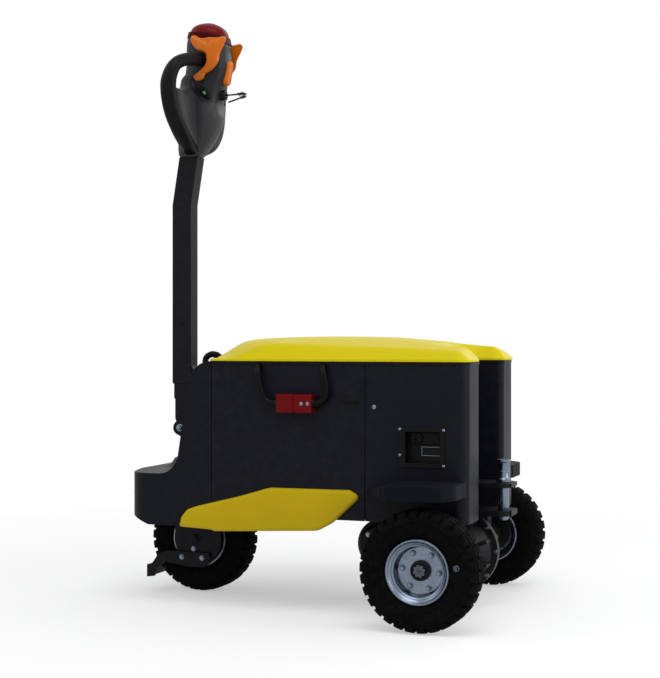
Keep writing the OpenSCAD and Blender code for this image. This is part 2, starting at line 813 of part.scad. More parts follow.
module tyre(x, y) {
    color(rubber) translate([x, y, wheel_r]) band([for (i = [0:lugs - 1], share = [-1, 0, 1])
        let (a = 360 * (i + (share - 1) * notch_share) / lugs - 90)
        [for (p = tyre_section(share == 0 ? lug_deep : 0)) [p[0] * cos(a), p[1], p[0] * sin(a)]]]);
}

// Rim with its disc set back from the outer flange; eye is the drawing of the disc's middle
module rim_section(eye) {
    flange_in = rim_half - 6;
    inner = seat_r - 4.5;
    polygon(concat([[rim_r, rim_half], [rim_r, flange_in], [seat_r, flange_in - 1],
        [seat_r, 1 - flange_in], [rim_r, -flange_in], [rim_r, -rim_half], [rim_r - 4, -rim_half],
        [inner, -flange_in], [inner, disc_out - disc_t - 6], [inner - 8, disc_out - disc_t]], eye,
        [[inner - 6, disc_out], [inner, disc_out + 6], [inner, flange_in], [rim_r - 4, rim_half]]));
}

hub_hole_r = 21.5;
drive_eye = [[hub_hole_r, disc_out - disc_t], [hub_hole_r, disc_out]];
free_hub_r = 23;
free_hub_half = leg_in - 6;
free_eye = [[free_hub_r, disc_out - disc_t], [free_hub_r, -free_hub_half],
    [10 + bore_gap, -free_hub_half], [10 + bore_gap, free_hub_half], [free_hub_r, free_hub_half],
    [free_hub_r, disc_out]];

module front_rim() {
    color(zinc) axle_spin(steer_x, 0, -1) rim_section(free_eye);
}

module front_tyre() {
    tyre(steer_x, 0);
}

module rear_rim_left() {
    color(zinc) axle_spin(axle_x, -wheel_y, -1) rim_section(drive_eye);
}

module rear_rim_right() {
    color(zinc) axle_spin(axle_x, wheel_y, 1) rim_section(drive_eye);
}

module rear_tyre_left() {
    tyre(axle_x, -wheel_y);
}

module rear_tyre_right() {
    tyre(axle_x, wheel_y);
}

// Drive hub: flange behind the disc, boss through it, and the half-shaft into the axle tube
module hub_section() {
    back = disc_out - disc_t;
    flange = seat_r - 14;
    polygon([[0, back - 66], [shaft_r, back - 66], [shaft_r, back - hub_flange_t],
        [flange, back - hub_flange_t], [flange, back], [hub_hole_r, back], [hub_hole_r, disc_out + 9],
        [15, disc_out + 9], [15, disc_out + 16], [0, disc_out + 16]]);
}

module rear_hub_left() {
    color(black) axle_spin(axle_x, -wheel_y, -1) hub_section();
}

module rear_hub_right() {
    color(black) axle_spin(axle_x, wheel_y, 1) hub_section();
}

// Drive axle: ribbed case with a flange round its middle, tubes to the wheels and saddles up to the floor
motor_x = axle_x - 154;
motor_z = wheel_r + 20;
motor_r = 58;
motor_back = 28;
motor_len = 168;
case_half = 78;
flange_r = axle_x - motor_x - motor_r - 5;
case_low = 42;

module axle_case() {
    color(cast_grey) difference() {
        union() {
            intersection() {
                union() {
                    axle_spin(axle_x, 0, 1) polygon([[0, -case_half], [34, -case_half], [46, -60],
                        [flange_r - 14, -24], [flange_r - 12, -9], [flange_r, -9], [flange_r, 9],
                        [flange_r - 12, 9], [flange_r - 14, 24], [46, 60], [34, case_half], [0, case_half]]);
                    for (a = [20:40:340]) translate([axle_x, 0, wheel_r]) rotate([0, a, 0])
                        translate([0, -56, -4]) cube([flange_r - 10, 112, 8]);
                }
                translate([axle_x - 200, -200, case_low]) cube([400, 400, belly_z - 3 - case_low]);
            }
            shaft(axle_x, wheel_r, 28, -tube_end, tube_end);
            across(motor_back, motor_back + 34) union() {
                translate([motor_x, motor_z]) circle(r = motor_r - 6);
                polygon([[motor_x, motor_z - motor_r + 6], [axle_x, wheel_r - 62], [axle_x, wheel_r + 62],
                    [motor_x, motor_z + motor_r - 6]]);
            }
            for (side = [-1, 1]) translate([axle_x - 32, side * (half_w - 70) - 20, wheel_r])
                cube([64, 40, floor_z - wheel_r]);
        }
        for (side = [-1, 1]) shaft(axle_x, wheel_r, shaft_r + bore_gap,
            side < 0 ? -tube_end - 1 : tube_end - 60, side < 0 ? 60 - tube_end : tube_end + 1);
    }
}

// Motor with cooling ribs round it and a smaller end cap
module drive_motor() {
    rib = 12;
    cap = 25;
    body = motor_len - cap;
    color(black) translate([motor_x, motor_back, motor_z]) rotate([90, 0, 0]) rotate_extrude() polygon(concat(
        [[0, 0], [motor_r, 0], [motor_r, rib]],
        [for (i = [1:4]) each [[motor_r - 5, 2 * i * rib - rib], [motor_r - 5, 2 * i * rib],
            [motor_r, 2 * i * rib], [motor_r, 2 * i * rib + rib]]],
        [[motor_r, body], [motor_r - 10, body], [motor_r - 10, motor_len - 6], [motor_r - 16, motor_len],
            [0, motor_len]]));
}

// Hitch

module hitch_plate(z, t) {
    translate([0, 0, z]) linear_extrude(t) difference() {
        union() {
            translate([notch_x, -plate_half]) square([plate_end - 30 - notch_x, 2 * plate_half]);
            translate([plate_end - 30, 15 - plate_half]) square([30, 2 * plate_half - 30]);
            for (side = [-1, 1]) translate([plate_end - 30, side * (plate_half - 30)]) circle(r = 30);
        }
        translate([tow_x, 0]) circle(r = tow_pin_d / 2 + bore_gap);
    }
}

module hitch_bracket() {
    color(black) {
        hitch_plate(plate_low_z, plate_low_t);
        hitch_plate(plate_up_z, plate_up_t);
        translate([notch_x, -60, plate_low_z]) cube([8, 120, plate_up_z + plate_up_t - plate_low_z + 20]);
    }
}

// Drop-in tow pin with a turned knob
module hitch_pin() {
    top = plate_up_z + plate_up_t + 0.3;
    r = tow_pin_d / 2;
    color(zinc) translate([tow_x, 0, 0]) rotate_extrude() polygon([[0, plate_low_z - 12],
        [r - 4, plate_low_z - 12], [r, plate_low_z - 6], [r, top], [r + 4, top], [r + 4, top + 8],
        [r + 1.5, top + 10], [r + 1.5, top + 44], [r + 4, top + 46], [r + 4, top + 52], [0, top + 52]]);
}

front_cowl();
base_pan();
mid_panel_left();
mid_panel_right();
rear_panel_left();
rear_panel_right();
rear_wall();
skirt_left();
skirt_right();
fender_left();
fender_right();
hitch_bracket();
axle_case();
drive_motor();
battery();
charge_port();
battery_connector();
battery_cables();
control_cable();
steer_housing();
hood();
hitch_pin();
fork();
front_axle();
foot_guard();
steer_head();
tiller_pin();
tiller_arm();
tiller_head();
hand_loops();
thumb_paddles();
belly_switch();
head_button();
key_switch();
front_rim();
front_tyre();
rear_rim_left();
rear_rim_right();
rear_tyre_left();
rear_tyre_right();
rear_hub_left();
rear_hub_right();
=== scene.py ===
"""Looks of a walk-behind electric tow tug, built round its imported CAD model. Shapes are in millimetres."""

import math

import bmesh
import bpy
import numpy as np
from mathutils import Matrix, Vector
from mathutils.geometry import delaunay_2d_cdt


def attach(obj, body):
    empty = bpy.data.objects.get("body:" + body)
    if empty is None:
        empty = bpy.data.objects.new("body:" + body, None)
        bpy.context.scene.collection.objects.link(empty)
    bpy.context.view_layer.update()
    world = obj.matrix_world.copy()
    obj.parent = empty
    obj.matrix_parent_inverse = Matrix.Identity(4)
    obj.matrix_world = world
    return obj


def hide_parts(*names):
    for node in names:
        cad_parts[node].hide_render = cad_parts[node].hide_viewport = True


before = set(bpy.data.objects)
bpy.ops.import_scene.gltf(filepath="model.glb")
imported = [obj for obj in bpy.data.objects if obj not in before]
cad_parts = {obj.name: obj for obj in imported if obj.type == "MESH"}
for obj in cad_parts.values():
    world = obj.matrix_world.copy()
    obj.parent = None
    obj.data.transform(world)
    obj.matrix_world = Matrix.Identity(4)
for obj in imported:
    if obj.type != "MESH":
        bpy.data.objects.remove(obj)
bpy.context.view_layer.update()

MM = 0.001
LEFT, UP = (0, -1, 0), (0, 0, 1)
# Edges that turn by more than this, in degrees, are sharp or get a bevel
EDGE_ANGLE = 32
# Sizes and places taken from the part's source
WHEEL_R, LUGS = 130, 30
AXLE_X, STEER_X, WHEEL_Y = 325, -325, 320
HALF_W, REAR_X = 225, 400
HOOD_Z, HOOD_RISE, NOTCH_HALF = 568.3, 57, 112
LEG_OUT = 58
PIVOT = (-382, 399)
ARM_X, BEND_Z = -380, 950
HEAD_Z, HEAD_LEAN = 1068, math.tan(math.radians(9))
PORT_X, PORT_Z = 300, 381
PLUG_X, PLUG_Z, PLUG_HALF = 9, 474, 42
MOTOR_X, MOTOR_Z, MOTOR_END = 171, 150, -140
TOW_X = 428


# Shapes: each is (points, faces)

def unit(v):
    return np.asarray(v, float) / np.linalg.norm(v)


def smooth(a, b, x):
    """0 up to a, 1 from b on, with a soft step between."""
    f = np.clip((x - a) / (b - a), 0, 1)
    return f * f * (3 - 2 * f)


def round_edge(depth, r):
    """0 at an edge, 1 from r inside it, along a quarter circle."""
    return np.sqrt(1 - (1 - np.minimum(1, depth / r)) ** 2)


def soft_min(a, b, k):
    """The lesser of a and b, blended where they are within k of each other."""
    h = np.clip(0.5 + 0.5 * (b - a) / k, 0, 1)
    return b + (a - b) * h - k * h * (1 - h)


def curve(points, steps):
    """Smooth line through the points."""
    p = np.asarray(points, float)
    out = []
    for u in np.linspace(0, len(p) - 1, steps + 1):
        i = min(int(u), len(p) - 2)
        f = u - i
        a, b, c, d = p[max(i - 1, 0)], p[i], p[i + 1], p[min(i + 2, len(p) - 1)]
        out.append(0.5 * (2 * b + (c - a) * f + (2 * a - 5 * b + 4 * c - d) * f ** 2
                          + (3 * b - a - 3 * c + d) * f ** 3))
    return np.array(out)


def fillet(corners, steps=6):
    """Closed outline through (x, y, radius) corners, each rounded by its radius."""
    out = []
    for i, (x, y, r) in enumerate(corners):
        p = np.array((x, y), float)
        if r == 0:
            out.append(p)
            continue
        a = unit(np.array(corners[i - 1][:2]) - p)
        b = unit(np.array(corners[(i + 1) % len(corners)][:2]) - p)
        half = math.acos(np.clip(a @ b, -1, 1)) / 2
        centre = p + unit(a + b) * r / math.sin(half)
        first, last = p + a * r / math.tan(half) - centre, p + b * r / math.tan(half) - centre
        a0 = math.atan2(first[1], first[0])
        turn = (math.atan2(last[1], last[0]) - a0 + math.pi) % (2 * math.pi) - math.pi
        out += [centre + r * np.array((math.cos(a0 + turn * k / steps), math.sin(a0 + turn * k / steps)))
                for k in range(steps + 1)]
    return np.array(out)


def spread(outline, gap):
    """The same closed outline with its long edges divided."""
    out = []
    for a, b in zip(outline, np.roll(outline, -1, 0)):
        n = max(1, round(np.linalg.norm(b - a) / gap))
        out += [a + (b - a) * k / n for k in range(n)]
    return np.array(out)


def edge_distance(points, outline):
    """How far each point is from a closed outline."""
    best = np.full(len(points), 1e9)
    for a, b in zip(outline, np.roll(outline, -1, 0)):
        d = b - a
        f = np.clip((points - a) @ d / max(d @ d, 1e-12), 0, 1)
        best = np.minimum(best, np.linalg.norm(points - a - f[:, None] * d, axis=1))
    return best


def inside(points, outline):
    """Whether each point is inside a closed outline."""
    x, y = points.T
    odd = np.zeros(len(points), bool)
    for (x0, y0), (x1, y1) in zip(outline, np.roll(outline, -1, 0)):
        if y0 != y1:
            odd ^= ((y0 > y) != (y1 > y)) & (x < x0 + (y - y0) * (x1 - x0) / (y1 - y0))
    return odd


def square_to(line):
    """Directions to the left of a closed line at its points."""
    ahead = np.roll(line, -1, 0) - np.roll(line, 1, 0)
    return np.stack([-ahead[:, 1], ahead[:, 0]], 1) / np.linalg.norm(ahead, axis=1)[:, None]


def fill(outline, gap, rings):
    """Triangles over a counter-clockwise outline, through inset rings and a grid inside them."""
    inward = square_to(outline)
    seeds = [outline]
    for depth in rings:
        ring = outline + inward * depth
        # points that came too near to another edge are left out
        seeds.append(ring[edge_distance(ring, outline) > 0.93 * depth])
    columns, rows = (np.arange(lo, hi, gap) for lo, hi in zip(outline.min(0), outline.max(0)))
    grid = np.stack(np.meshgrid(columns, rows), -1).reshape(-1, 2)
    seeds.append(grid[inside(grid, outline) & (edge_distance(grid, outline) > rings[-1] + 0.5 * gap)])
    n = len(outline)
    verts, _, tris, *_ = delaunay_2d_cdt(
        [Vector(p) for p in np.concatenate(seeds)], [(i, (i + 1) % n) for i in range(n)], [], 1, 1e-5)
    return np.array([v[:] for v in verts]), [list(t) for t in tris]


def slab(outline, gap, front, back, rings):
    """Closed body over an outline: front and back place its points, given their depth from the edge."""
    points, tris = fill(outline, gap, rings)
    depth = edge_distance(points, outline)
    n = len(points)
    edges = {(t[k], t[(k + 1) % 3]) for t in tris for k in range(3)}
    walls = [[a, n + a, n + b, b] for a, b in edges if (b, a) not in edges]
    faces = tris + [[n + i for i in reversed(t)] for t in tris] + walls
    return np.concatenate([front(points, depth), back(points, depth)]), faces


def side_on(p, y, x=0, z=0):
    """Points drawn in side view round (x, z), set at y."""
    return np.column_stack([x + p[:, 0], np.broadcast_to(y, len(p)), z + p[:, 1]])


def loft(rings, closed=False):
    """Body through rings: with flat ends, or closed where the last ring meets the first."""
    n, m = len(rings[0]), len(rings)
    faces = [[i * n + j, i * n + (j + 1) % n, (i + 1) % m * n + (j + 1) % n, (i + 1) % m * n + j]
             for i in range(m if closed else m - 1) for j in range(n)]
    if not closed:
        faces += [list(range(n))[::-1], [(m - 1) * n + j for j in range(n)]]
    return np.concatenate(rings), faces


def across(axis):
    """Two directions square to an axis."""
    axis = unit(axis)
    u = unit(np.cross(axis, UP if abs(axis[2]) < 0.9 else (1, 0, 0)))
    return u, np.cross(axis, u)


def revolve(profile, at, axis, steps):
    """Turned body: profile is a closed line of (radius, place along the axis)."""
    u, v = across(axis)
    r, z = np.asarray(profile, float).T
    rings = []
    for k in range(steps):
        a = 2 * math.pi * k / steps
        rings.append(np.asarray(at) + np.outer(z, unit(axis))
                     + np.outer(r, math.cos(a) * u + math.sin(a) * v))
    return loft(rings, closed=True)


def squared_circle(n, power):
    """n points round a circle of radius 1, as x and y; a power below 1 makes it squarer."""
    a = 2 * np.pi * np.arange(n) / n
    return [np.sign(f) * np.abs(f) ** power for f in (np.cos(a), np.sin(a))]


def sweep(path, sizes, side, sides, power=1.0):
    """Tube along a path; sizes are the half-sizes across and along 'side' at each point."""
    rings = []
    power = np.broadcast_to(power, len(path))
    for i, p in enumerate(path):
        t = unit(path[min(i + 1, len(path) - 1)] - path[max(i - 1, 0)])
        b = unit(np.asarray(side) - t * (np.asarray(side) @ t))
        c, s = squared_circle(sides, power[i])
        rings.append(p + np.outer(sizes[i][0] * c, np.cross(b, t)) + np.outer(sizes[i][1] * s, b))
    return loft(rings)


def mirrored(shape):
    """The same shape on the other side of the tug."""
    return shape[0] * (1, -1, 1), [f[::-1] for f in shape[1]]


def ring_places(x, z, r, degrees):
    """Places (x, z) on a circle in side view."""
    return [(x + r * math.cos(a), z + r * math.sin(a)) for a in np.radians(degrees)]


def dome_screw(at, axis, r, h):
    """Button-head screw with a socket in its head."""
    return revolve([(0, 0.45 * h), (0.4 * r, 0.5 * h), (0.46 * r, h), (0.7 * r, 0.9 * h), (0.93 * r, 0.55 * h),
                    (r, 0.15 * h), (r, -1), (0, -1)], at, axis, 20)


def hex_bolt(at, axis, r, h):
    """Chamfered hexagon head and its washer."""
    u, v = across(axis)
    rings = []
    for size, z in ((0.98, 1.2), (1, 1.8), (1, h - 1.2), (0.88, h)):
        rings.append(np.array([np.asarray(at) + unit(axis) * z + r * size * (math.cos(a) * u + math.sin(a) * v)
                               for a in np.arange(6) * math.pi / 3]))
    washer = [(0, -1), (1.3 * r, -1), (1.3 * r, 1.1), (1.22 * r, 1.6), (0, 1.6)]
    return [loft(rings), revolve(washer, at, axis, 28)]


# Looks: procedural materials for the record's slots, and some for single pieces

class Look:
    """A material's nodes round its shader."""

    def __init__(self, name, rough, metal=0.0, level=0.5):
        self.name = name
        self.material = bpy.data.materials.new(name)
        self.material.use_nodes = True
        self.tree = self.material.node_tree
        self.shader = self.tree.nodes["Principled BSDF"]
        self.set(Roughness=rough, Metallic=metal, Specular_IOR_Level=level)
        self.place = self.node("ShaderNodeTexCoord").outputs["Object"]

    def node(self, kind, settings=(), **inputs):
        """New node; a space in an input's name is written _."""
        made = self.tree.nodes.new(kind)
        for key, value in dict(settings).items():
            setattr(made, key, value)
        for key, value in inputs.items():
            self.feed(made.inputs[key.replace("_", " ")], value)
        return made

    def feed(self, socket, value):
        if isinstance(value, bpy.types.NodeSocket):
            self.tree.links.new(value, socket)
        else:
            socket.default_value = value

    def noise(self, scale, detail=3.0, rough=0.55):
        return self.node("ShaderNodeTexNoise", Vector=self.place, Scale=scale, Detail=detail,
                         Roughness=rough).outputs["Fac"]

    def ramp(self, fac, low, high, start=0.3, stop=0.7):
        """Colour from low to high while fac goes from start to stop."""
        made = self.node("ShaderNodeValToRGB", Fac=fac)
        for end, colour, place in zip(made.color_ramp.elements, (low, high), (start, stop)):
            end.position, end.color = place, (*colour, 1)
        return made.outputs["Color"]

    def span(self, fac, low, high, start=0.3, stop=0.7):
        """Number from low to high while fac goes from start to stop."""
        return self.node("ShaderNodeMapRange", {"clamp": True}, Value=fac, From_Min=start, From_Max=stop,
                         To_Min=low, To_Max=high).outputs["Result"]

    def math(self, operation, a, b):
        made = self.node("ShaderNodeMath", {"operation": operation})
        self.feed(made.inputs[0], a)
        self.feed(made.inputs[1], b)
        return made.outputs[0]

    def mix(self, fac, a, b):
        made = self.node("ShaderNodeMix", {"data_type": "RGBA"})
        for socket, value in zip((made.inputs[0], made.inputs[6], made.inputs[7]), (fac, a, b)):
            self.feed(socket, value)
        return made.outputs[2]

    def bump(self, height, strength, distance):
        """Adds a bump to those that the shader has already."""
        last = self.shader.inputs["Normal"]
        made = self.node("ShaderNodeBump", Height=height, Strength=strength, Distance=distance)
        if last.links:
            self.tree.links.new(last.links[0].from_socket, made.inputs["Normal"])
        self.tree.links.new(made.outputs["Normal"], last)

    def set(self, **inputs):
        for key, value in inputs.items():
            self.feed(self.shader.inputs[key.replace("_", " ")], value)


def shade(colour, factor):
    return tuple(c * factor for c in colour)


def moulded(name, colour, rough, level=0.4, grain=1400, deep=0.00006, vary=0.1):
    """Moulded plastic: even colour with slight flow marks and a fine grain."""
    look = Look(name, rough, level=level)
    look.set(Base_Color=look.ramp(look.noise(6, 4), shade(colour, 1 - vary), shade(colour, 1 + vary)),
             Roughness=look.span(look.noise(34, 4), rough - 0.06, rough + 0.08))
    if deep:
        look.bump(look.noise(grain, 2), 0.5, deep)
    return look


def powder_coat(name, colour, rough, level):
    """Powder-coated steel: orange-peel skin, faint cloudiness and rubbed edges."""
    look = Look(name, rough, level=level)
    cloud = look.ramp(look.noise(2.5, 3), shade(colour, 0.93), shade(colour, 1.08))
    rub = look.span(look.node("ShaderNodeNewGeometry").outputs["Pointiness"], 0, 0.5, 0.53, 0.62)
    patch = look.math("MULTIPLY", rub, look.span(look.noise(60, 5), 0, 1, 0.45, 0.62))
    look.set(Base_Color=look.mix(patch, cloud, (*[c + 0.012 for c in colour], 1)),
             Roughness=look.span(look.noise(4, 3), rough - 0.03, rough + 0.04))
    look.bump(look.noise(700, 2), 0.25, 0.00004)
    return look


def plated(name, colour, rough):
    """Zinc plate: small crystals, cloudy gloss and a little dulling."""
    look = Look(name, rough, metal=1.0)
    crystals = look.node("ShaderNodeTexVoronoi", Vector=look.place, Scale=420.0).outputs["Color"]
    spangle = look.ramp(crystals, shade(colour, 0.84), shade(colour, 1.05), 0, 1)
    dull = look.span(look.noise(28, 5), 0, 0.55, 0.42, 0.7)
    look.set(Base_Color=look.mix(dull, spangle, (*shade(colour, 0.7), 1)),
             Roughness=look.span(look.noise(75, 4), rough - 0.08, rough + 0.16))
    look.bump(look.noise(240, 3), 0.2, 0.00003)
    return look


def cast_metal(name, colour, rough):
    """Sand-cast metal: coarse pitted skin with dirt in it."""
    look = Look(name, rough, metal=0.6, level=0.35)
    grit = look.noise(160, 6, 0.65)
    stain = look.ramp(look.noise(14, 6, 0.6), shade(colour, 0.55), shade(colour, 1.15))
    look.set(Base_Color=look.mix(look.span(grit, 0, 0.6, 0.35, 0.6), shade(colour, 0.5) + (1,), stain),
             Roughness=look.span(grit, rough + 0.15, rough - 0.08))
    look.bump(grit, 0.6, 0.0006)
    look.bump(look.noise(45, 3), 0.3, 0.0008)
    return look


def tyre_rubber(name, colour):
    """Rubber: matt black with road dust in the pattern and faint mould bloom."""
    look = Look(name, 0.78, level=0.035)
    bloom = look.ramp(look.noise(9, 5), shade(colour, 0.7), shade(colour, 1.5))
    dust = look.span(look.noise(70, 6, 0.7), 0, 0.22, 0.5, 0.8)
    look.set(Base_Color=look.mix(dust, bloom, (0.030, 0.026, 0.020, 1)),
             Roughness=look.span(look.noise(120, 4), 0.68, 0.9))
    look.bump(look.noise(650, 4), 0.4, 0.0002)
    return look


# Line between the tones of the tiller head as (x, z) in metres, and half of its soft edge
TONE_BACK, TONE_FRONT = (-0.342, 1.238), (-0.314, 1.197)
TONE_EDGE = 0.002


def two_tone(look, dark):
    """Darkens a look above the line between the tones of the tiller head."""
    parts = look.node("ShaderNodeSeparateXYZ", Vector=look.place)
    (x0, z0), (x1, z1) = TONE_BACK, TONE_FRONT
    above = look.math("SUBTRACT", parts.outputs["Z"], look.span(parts.outputs["X"], z0, z1, x0, x1))
    base = look.shader.inputs["Base Color"].links[0].from_socket
    look.set(Base_Color=look.mix(look.span(above, 0, 1, -TONE_EDGE, TONE_EDGE), base, (*dark, 1)))
    return look


LOOKS = {look.name: look for look in (
    powder_coat("body_paint", (0.0033, 0.0037, 0.0070), 0.45, 0.095),
    powder_coat("fender_paint", (0.0036, 0.0040, 0.0072), 0.62, 0.05),
    powder_coat("black_paint", (0.0034, 0.0034, 0.0055), 0.46, 0.11),
    moulded("hood_yellow", (0.58, 0.475, 0.004), 0.4, 0.07, deep=0, vary=0.02),
    moulded("skirt_yellow", (0.46, 0.325, 0.003), 0.45, 0.10, 500, 0.00008, 0.04),
    cast_metal("cast_grey", (0.015, 0.0155, 0.018), 0.46),
    plated("zinc", (0.185, 0.225, 0.285), 0.28),
    cast_metal("hub_steel", (0.010, 0.010, 0.012), 0.5),
    # darker plated steel: the real colour of the hub nuts and valve rings, and painted shadow on the washers round
    # the rim bolts
    plated("dull_steel_and_shade", (0.09, 0.105, 0.125), 0.34),
    tyre_rubber("tyre_rubber", (0.0018, 0.0018, 0.0020)),
    moulded("battery_case", (0.02, 0.021, 0.023), 0.55, 0.3),
    moulded("black_plastic", (0.0028, 0.0028, 0.0032), 0.42, 0.10),
    moulded("cable_black", (0.0012, 0.0012, 0.0013), 0.4, 0.09, 900),
    two_tone(moulded("head_grey", (0.024, 0.0245, 0.0265), 0.44, 0.22, 1100, 0.0001), (0.006, 0.0065, 0.009)),
    moulded("orange_plastic", (0.52, 0.118, 0.003), 0.36, 0.2, 900),
    moulded("red_plastic", (0.125, 0.0012, 0.0020), 0.3, 0.08, 900),
    # darker copy of the red plastic: painted shade for the gaiter under the red cap
    moulded("red_painted_shade", (0.045, 0.0008, 0.0010), 0.4, 0.04, 900),
    moulded("green_lens", (0.07, 0.24, 0.05), 0.2, 0.5, 900),
    moulded("label_plate", (0.004, 0.004, 0.0045), 0.4, 0.12, 900),
)}


# Pieces

# In metres: points that are one, edges with no length, CAD points to weld; in degrees: CAD flats to join
SAME_POINT, NO_LENGTH, WELD = 1e-6, 1e-7, 1e-5
FLAT_ANGLE = 0.7


def add(name, data):
    """New object in the scene."""
    made = bpy.data.objects.new(name, data)
    bpy.context.scene.collection.objects.link(made)
    return made


def piece(name, body, slot, shapes, stands_for=(), bevel=0.0, angle=EDGE_ANGLE, look=None):
    """Mesh object made of shapes, riding on a body; bevel is the width of its rounded edges."""
    bm = bmesh.new()
    for points, faces in shapes:
        verts = [bm.verts.new(p) for p in np.asarray(points) * MM]
        for face in faces:
            bm.faces.new([verts[i] for i in face])
    bmesh.ops.remove_doubles(bm, verts=bm.verts, dist=SAME_POINT)
    bmesh.ops.dissolve_degenerate(bm, edges=bm.edges, dist=NO_LENGTH)
    bmesh.ops.recalc_face_normals(bm, faces=bm.faces)
    mesh = bpy.data.meshes.new(name)
    bm.to_mesh(mesh)
    bm.free()
    mesh.shade_smooth()
    mesh.set_sharp_from_angle(angle=math.radians(angle))
    mesh.materials.append(LOOKS[look or slot].material)
    made = add(name, mesh)
    if bevel:
        soften(made, bevel)
    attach(made, body)
    if stands_for:
        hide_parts(*stands_for)


def soften(made, width):
    """Rounded edges with even shading."""
    bevel = made.modifiers.new("edges", "BEVEL")
    bevel.width, bevel.segments = width * MM, 2
    bevel.limit_method, bevel.angle_limit = "ANGLE", math.radians(EDGE_ANGLE)
    made.modifiers.new("shading", "WEIGHTED_NORMAL").keep_sharp = False


def dress(look, width, *names, join=True):
    """CAD nodes that stay: flats joined, edges rounded, in one of the looks."""
    for name in names:
        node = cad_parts[name]
        node.modifiers.new("weld", "WELD").merge_threshold = WELD
        if join:
            flats = node.modifiers.new("flats", "DECIMATE")
            flats.decimate_type, flats.angle_limit = "DISSOLVE", math.radians(FLAT_ANGLE)
        soften(node, width)
        node.data.materials.clear()
        node.data.materials.append(LOOKS[look].material)


dress("body_paint", 1.6, "front_cowl", "mid_panel_left", "mid_panel_right", "rear_panel_left",
      "rear_panel_right", "rear_wall", "steer_housing")
dress("fender_paint", 1.6, "fender_left", "fender_right")
dress("black_paint", 1.5, "base_pan", "hitch_bracket", "fork", "foot_guard", "steer_head", "drive_motor")
dress("black_paint", 2.5, "tiller_arm", join=False)
dress("battery_case", 3.0, "battery")
dress("black_plastic", 1.0, "charge_port")
dress("cast_grey", 2.5, "axle_case")


# Pieces: hood, skirts and seal

# Hood: its ends, half-width and the front of its notch
HOOD_FRONT, HOOD_BACK, HOOD_HALF, NOTCH_X = -217.5, 403.5, 228, 310
# Left half in plan as (x, y, corner radius)
HOOD_CORNERS = [(HOOD_FRONT, -HOOD_HALF, 30), (HOOD_BACK, -HOOD_HALF, 30), (HOOD_BACK, -126, 16),
                (380, -NOTCH_HALF, 20), (NOTCH_X, -NOTCH_HALF, 34)]
# Heights of the rim and the foot of the dome, thickness, slope of the edges
RIM_H, DOME_FOOT, HOOD_SKIN, EDGE_SLOPE = 5, 6, 4.5, 1.1
# Crown, start of the rounded end, and (fall, length) behind the crown, before it and at that end
CROWN_X, END_X = 25, 360
FALL_BEHIND, FALL_BEFORE, FALL_END = (17, 350), (3, 130), (28, 44)
# Front of the dome: height, start, end, how far its sides swing back, and its foot
FRONT_H, FRONT_FROM, FRONT_TO, FRONT_SWING, FRONT_FOOT = 63, -353, -138, 152, -218
# Valley into the notch, and the share of its height that the dome loses at its sides
VALLEY_DEEP, VALLEY_FROM = 9, 175
BEND_FRONT, BEND_MORE, BEND_FROM, BEND_TO = 0.36, 0.22, -150, 120


def hood_height(x, y, depth):
    """Skin of the hood: a sloped edge that turns into a low dome, lower at both ends."""
    side = np.abs(y) / HOOD_HALF
    behind = FALL_BEHIND[0] * ((x - CROWN_X) / FALL_BEHIND[1]) ** 2
    before = FALL_BEFORE[0] * ((CROWN_X - x) / FALL_BEFORE[1]) ** 2
    end = FALL_END[0] * (np.maximum(0, x - END_X) / FALL_END[1]) ** 2.4
    crown = HOOD_RISE - np.where(x > CROWN_X, behind, before) - end
    front = np.minimum(FRONT_H * smooth(FRONT_FROM, FRONT_TO, x - FRONT_SWING * side ** 2) - 1,
                       DOME_FOOT + EDGE_SLOPE * (x - FRONT_FOOT))
    middle = np.maximum(DOME_FOOT, soft_min(crown, front, 12))
    valley = VALLEY_DEEP * smooth(VALLEY_FROM, NOTCH_X, x) * (1 - smooth(0, NOTCH_HALF, np.abs(y)))
    bend = BEND_FRONT + BEND_MORE * smooth(BEND_FROM, BEND_TO, x)
    top = DOME_FOOT + (middle - DOME_FOOT) * (1 - bend * side ** 2) - valley
    rim = RIM_H * round_edge(depth + 0.6, RIM_H)
    return np.maximum(rim, soft_min(top, RIM_H + EDGE_SLOPE * depth, 9))


def hood():
    """Domed hood with a rim all round and a notch in its back end."""
    outline = spread(fillet(HOOD_CORNERS + [(x, -y, r) for x, y, r in HOOD_CORNERS[::-1]]), 8)

    def top(p, depth):
        return np.column_stack([p, HOOD_Z + hood_height(*p.T, depth)])

    def under(p, depth):
        rise = np.where(depth < RIM_H, 0, np.maximum(0, hood_height(*p.T, depth) - HOOD_SKIN))
        return np.column_stack([p, HOOD_Z + rise])

    return slab(outline, 8, top, under, (0.7, 1.8, 3.4, 4.9, 5.3, 8, 12, 16, 21, 26, 31, 36, 42))


# Seal on the left panels, from the front seam into the notch, as (x, y, corner radius); half-sizes and drop
SEAL_CORNERS = [(-200, -HALF_W, 0), (REAR_X, -HALF_W, 30), (REAR_X, -NOTCH_HALF, 14), (306, -NOTCH_HALF, 0)]
SEAL_HALF, SEAL_DROP = (1.5, 3.8), 4


def seal_and_gap_shade():
    """Flat black strip under the hood along the top edge of the panels: a sealing strip, and painted shadow of the
    gap under the hood's rim.
    """
    closing = [(0, 0, 0)]
    edge = fillet(SEAL_CORNERS + closing, 8)[:-1]
    path = np.column_stack([edge, np.full(len(edge), HOOD_Z - SEAL_DROP)])
    return sweep(path, [SEAL_HALF] * len(path), UP, 8, 0.4)


# Skirt in side view as (x, z, corner radius); (height, reach) of its rolled edge and of its field
SKIRT = [(-205, 180.5, 6), (-195, 177, 6), (57, 189, 40), (92, 208, 40), (158, 268, 9), (133, 283, 14),
         (-59, 282, 60), (-133, 260, 90), (-241, 233, 40), (-264, 225, 20), (-279, 208, 20), (-285, 184, 5)]
SKIRT_ROLL, SKIRT_FIELD = (11.2, 7), (1.8, 34)
SKIRT_BACK = -HALF_W + 0.2


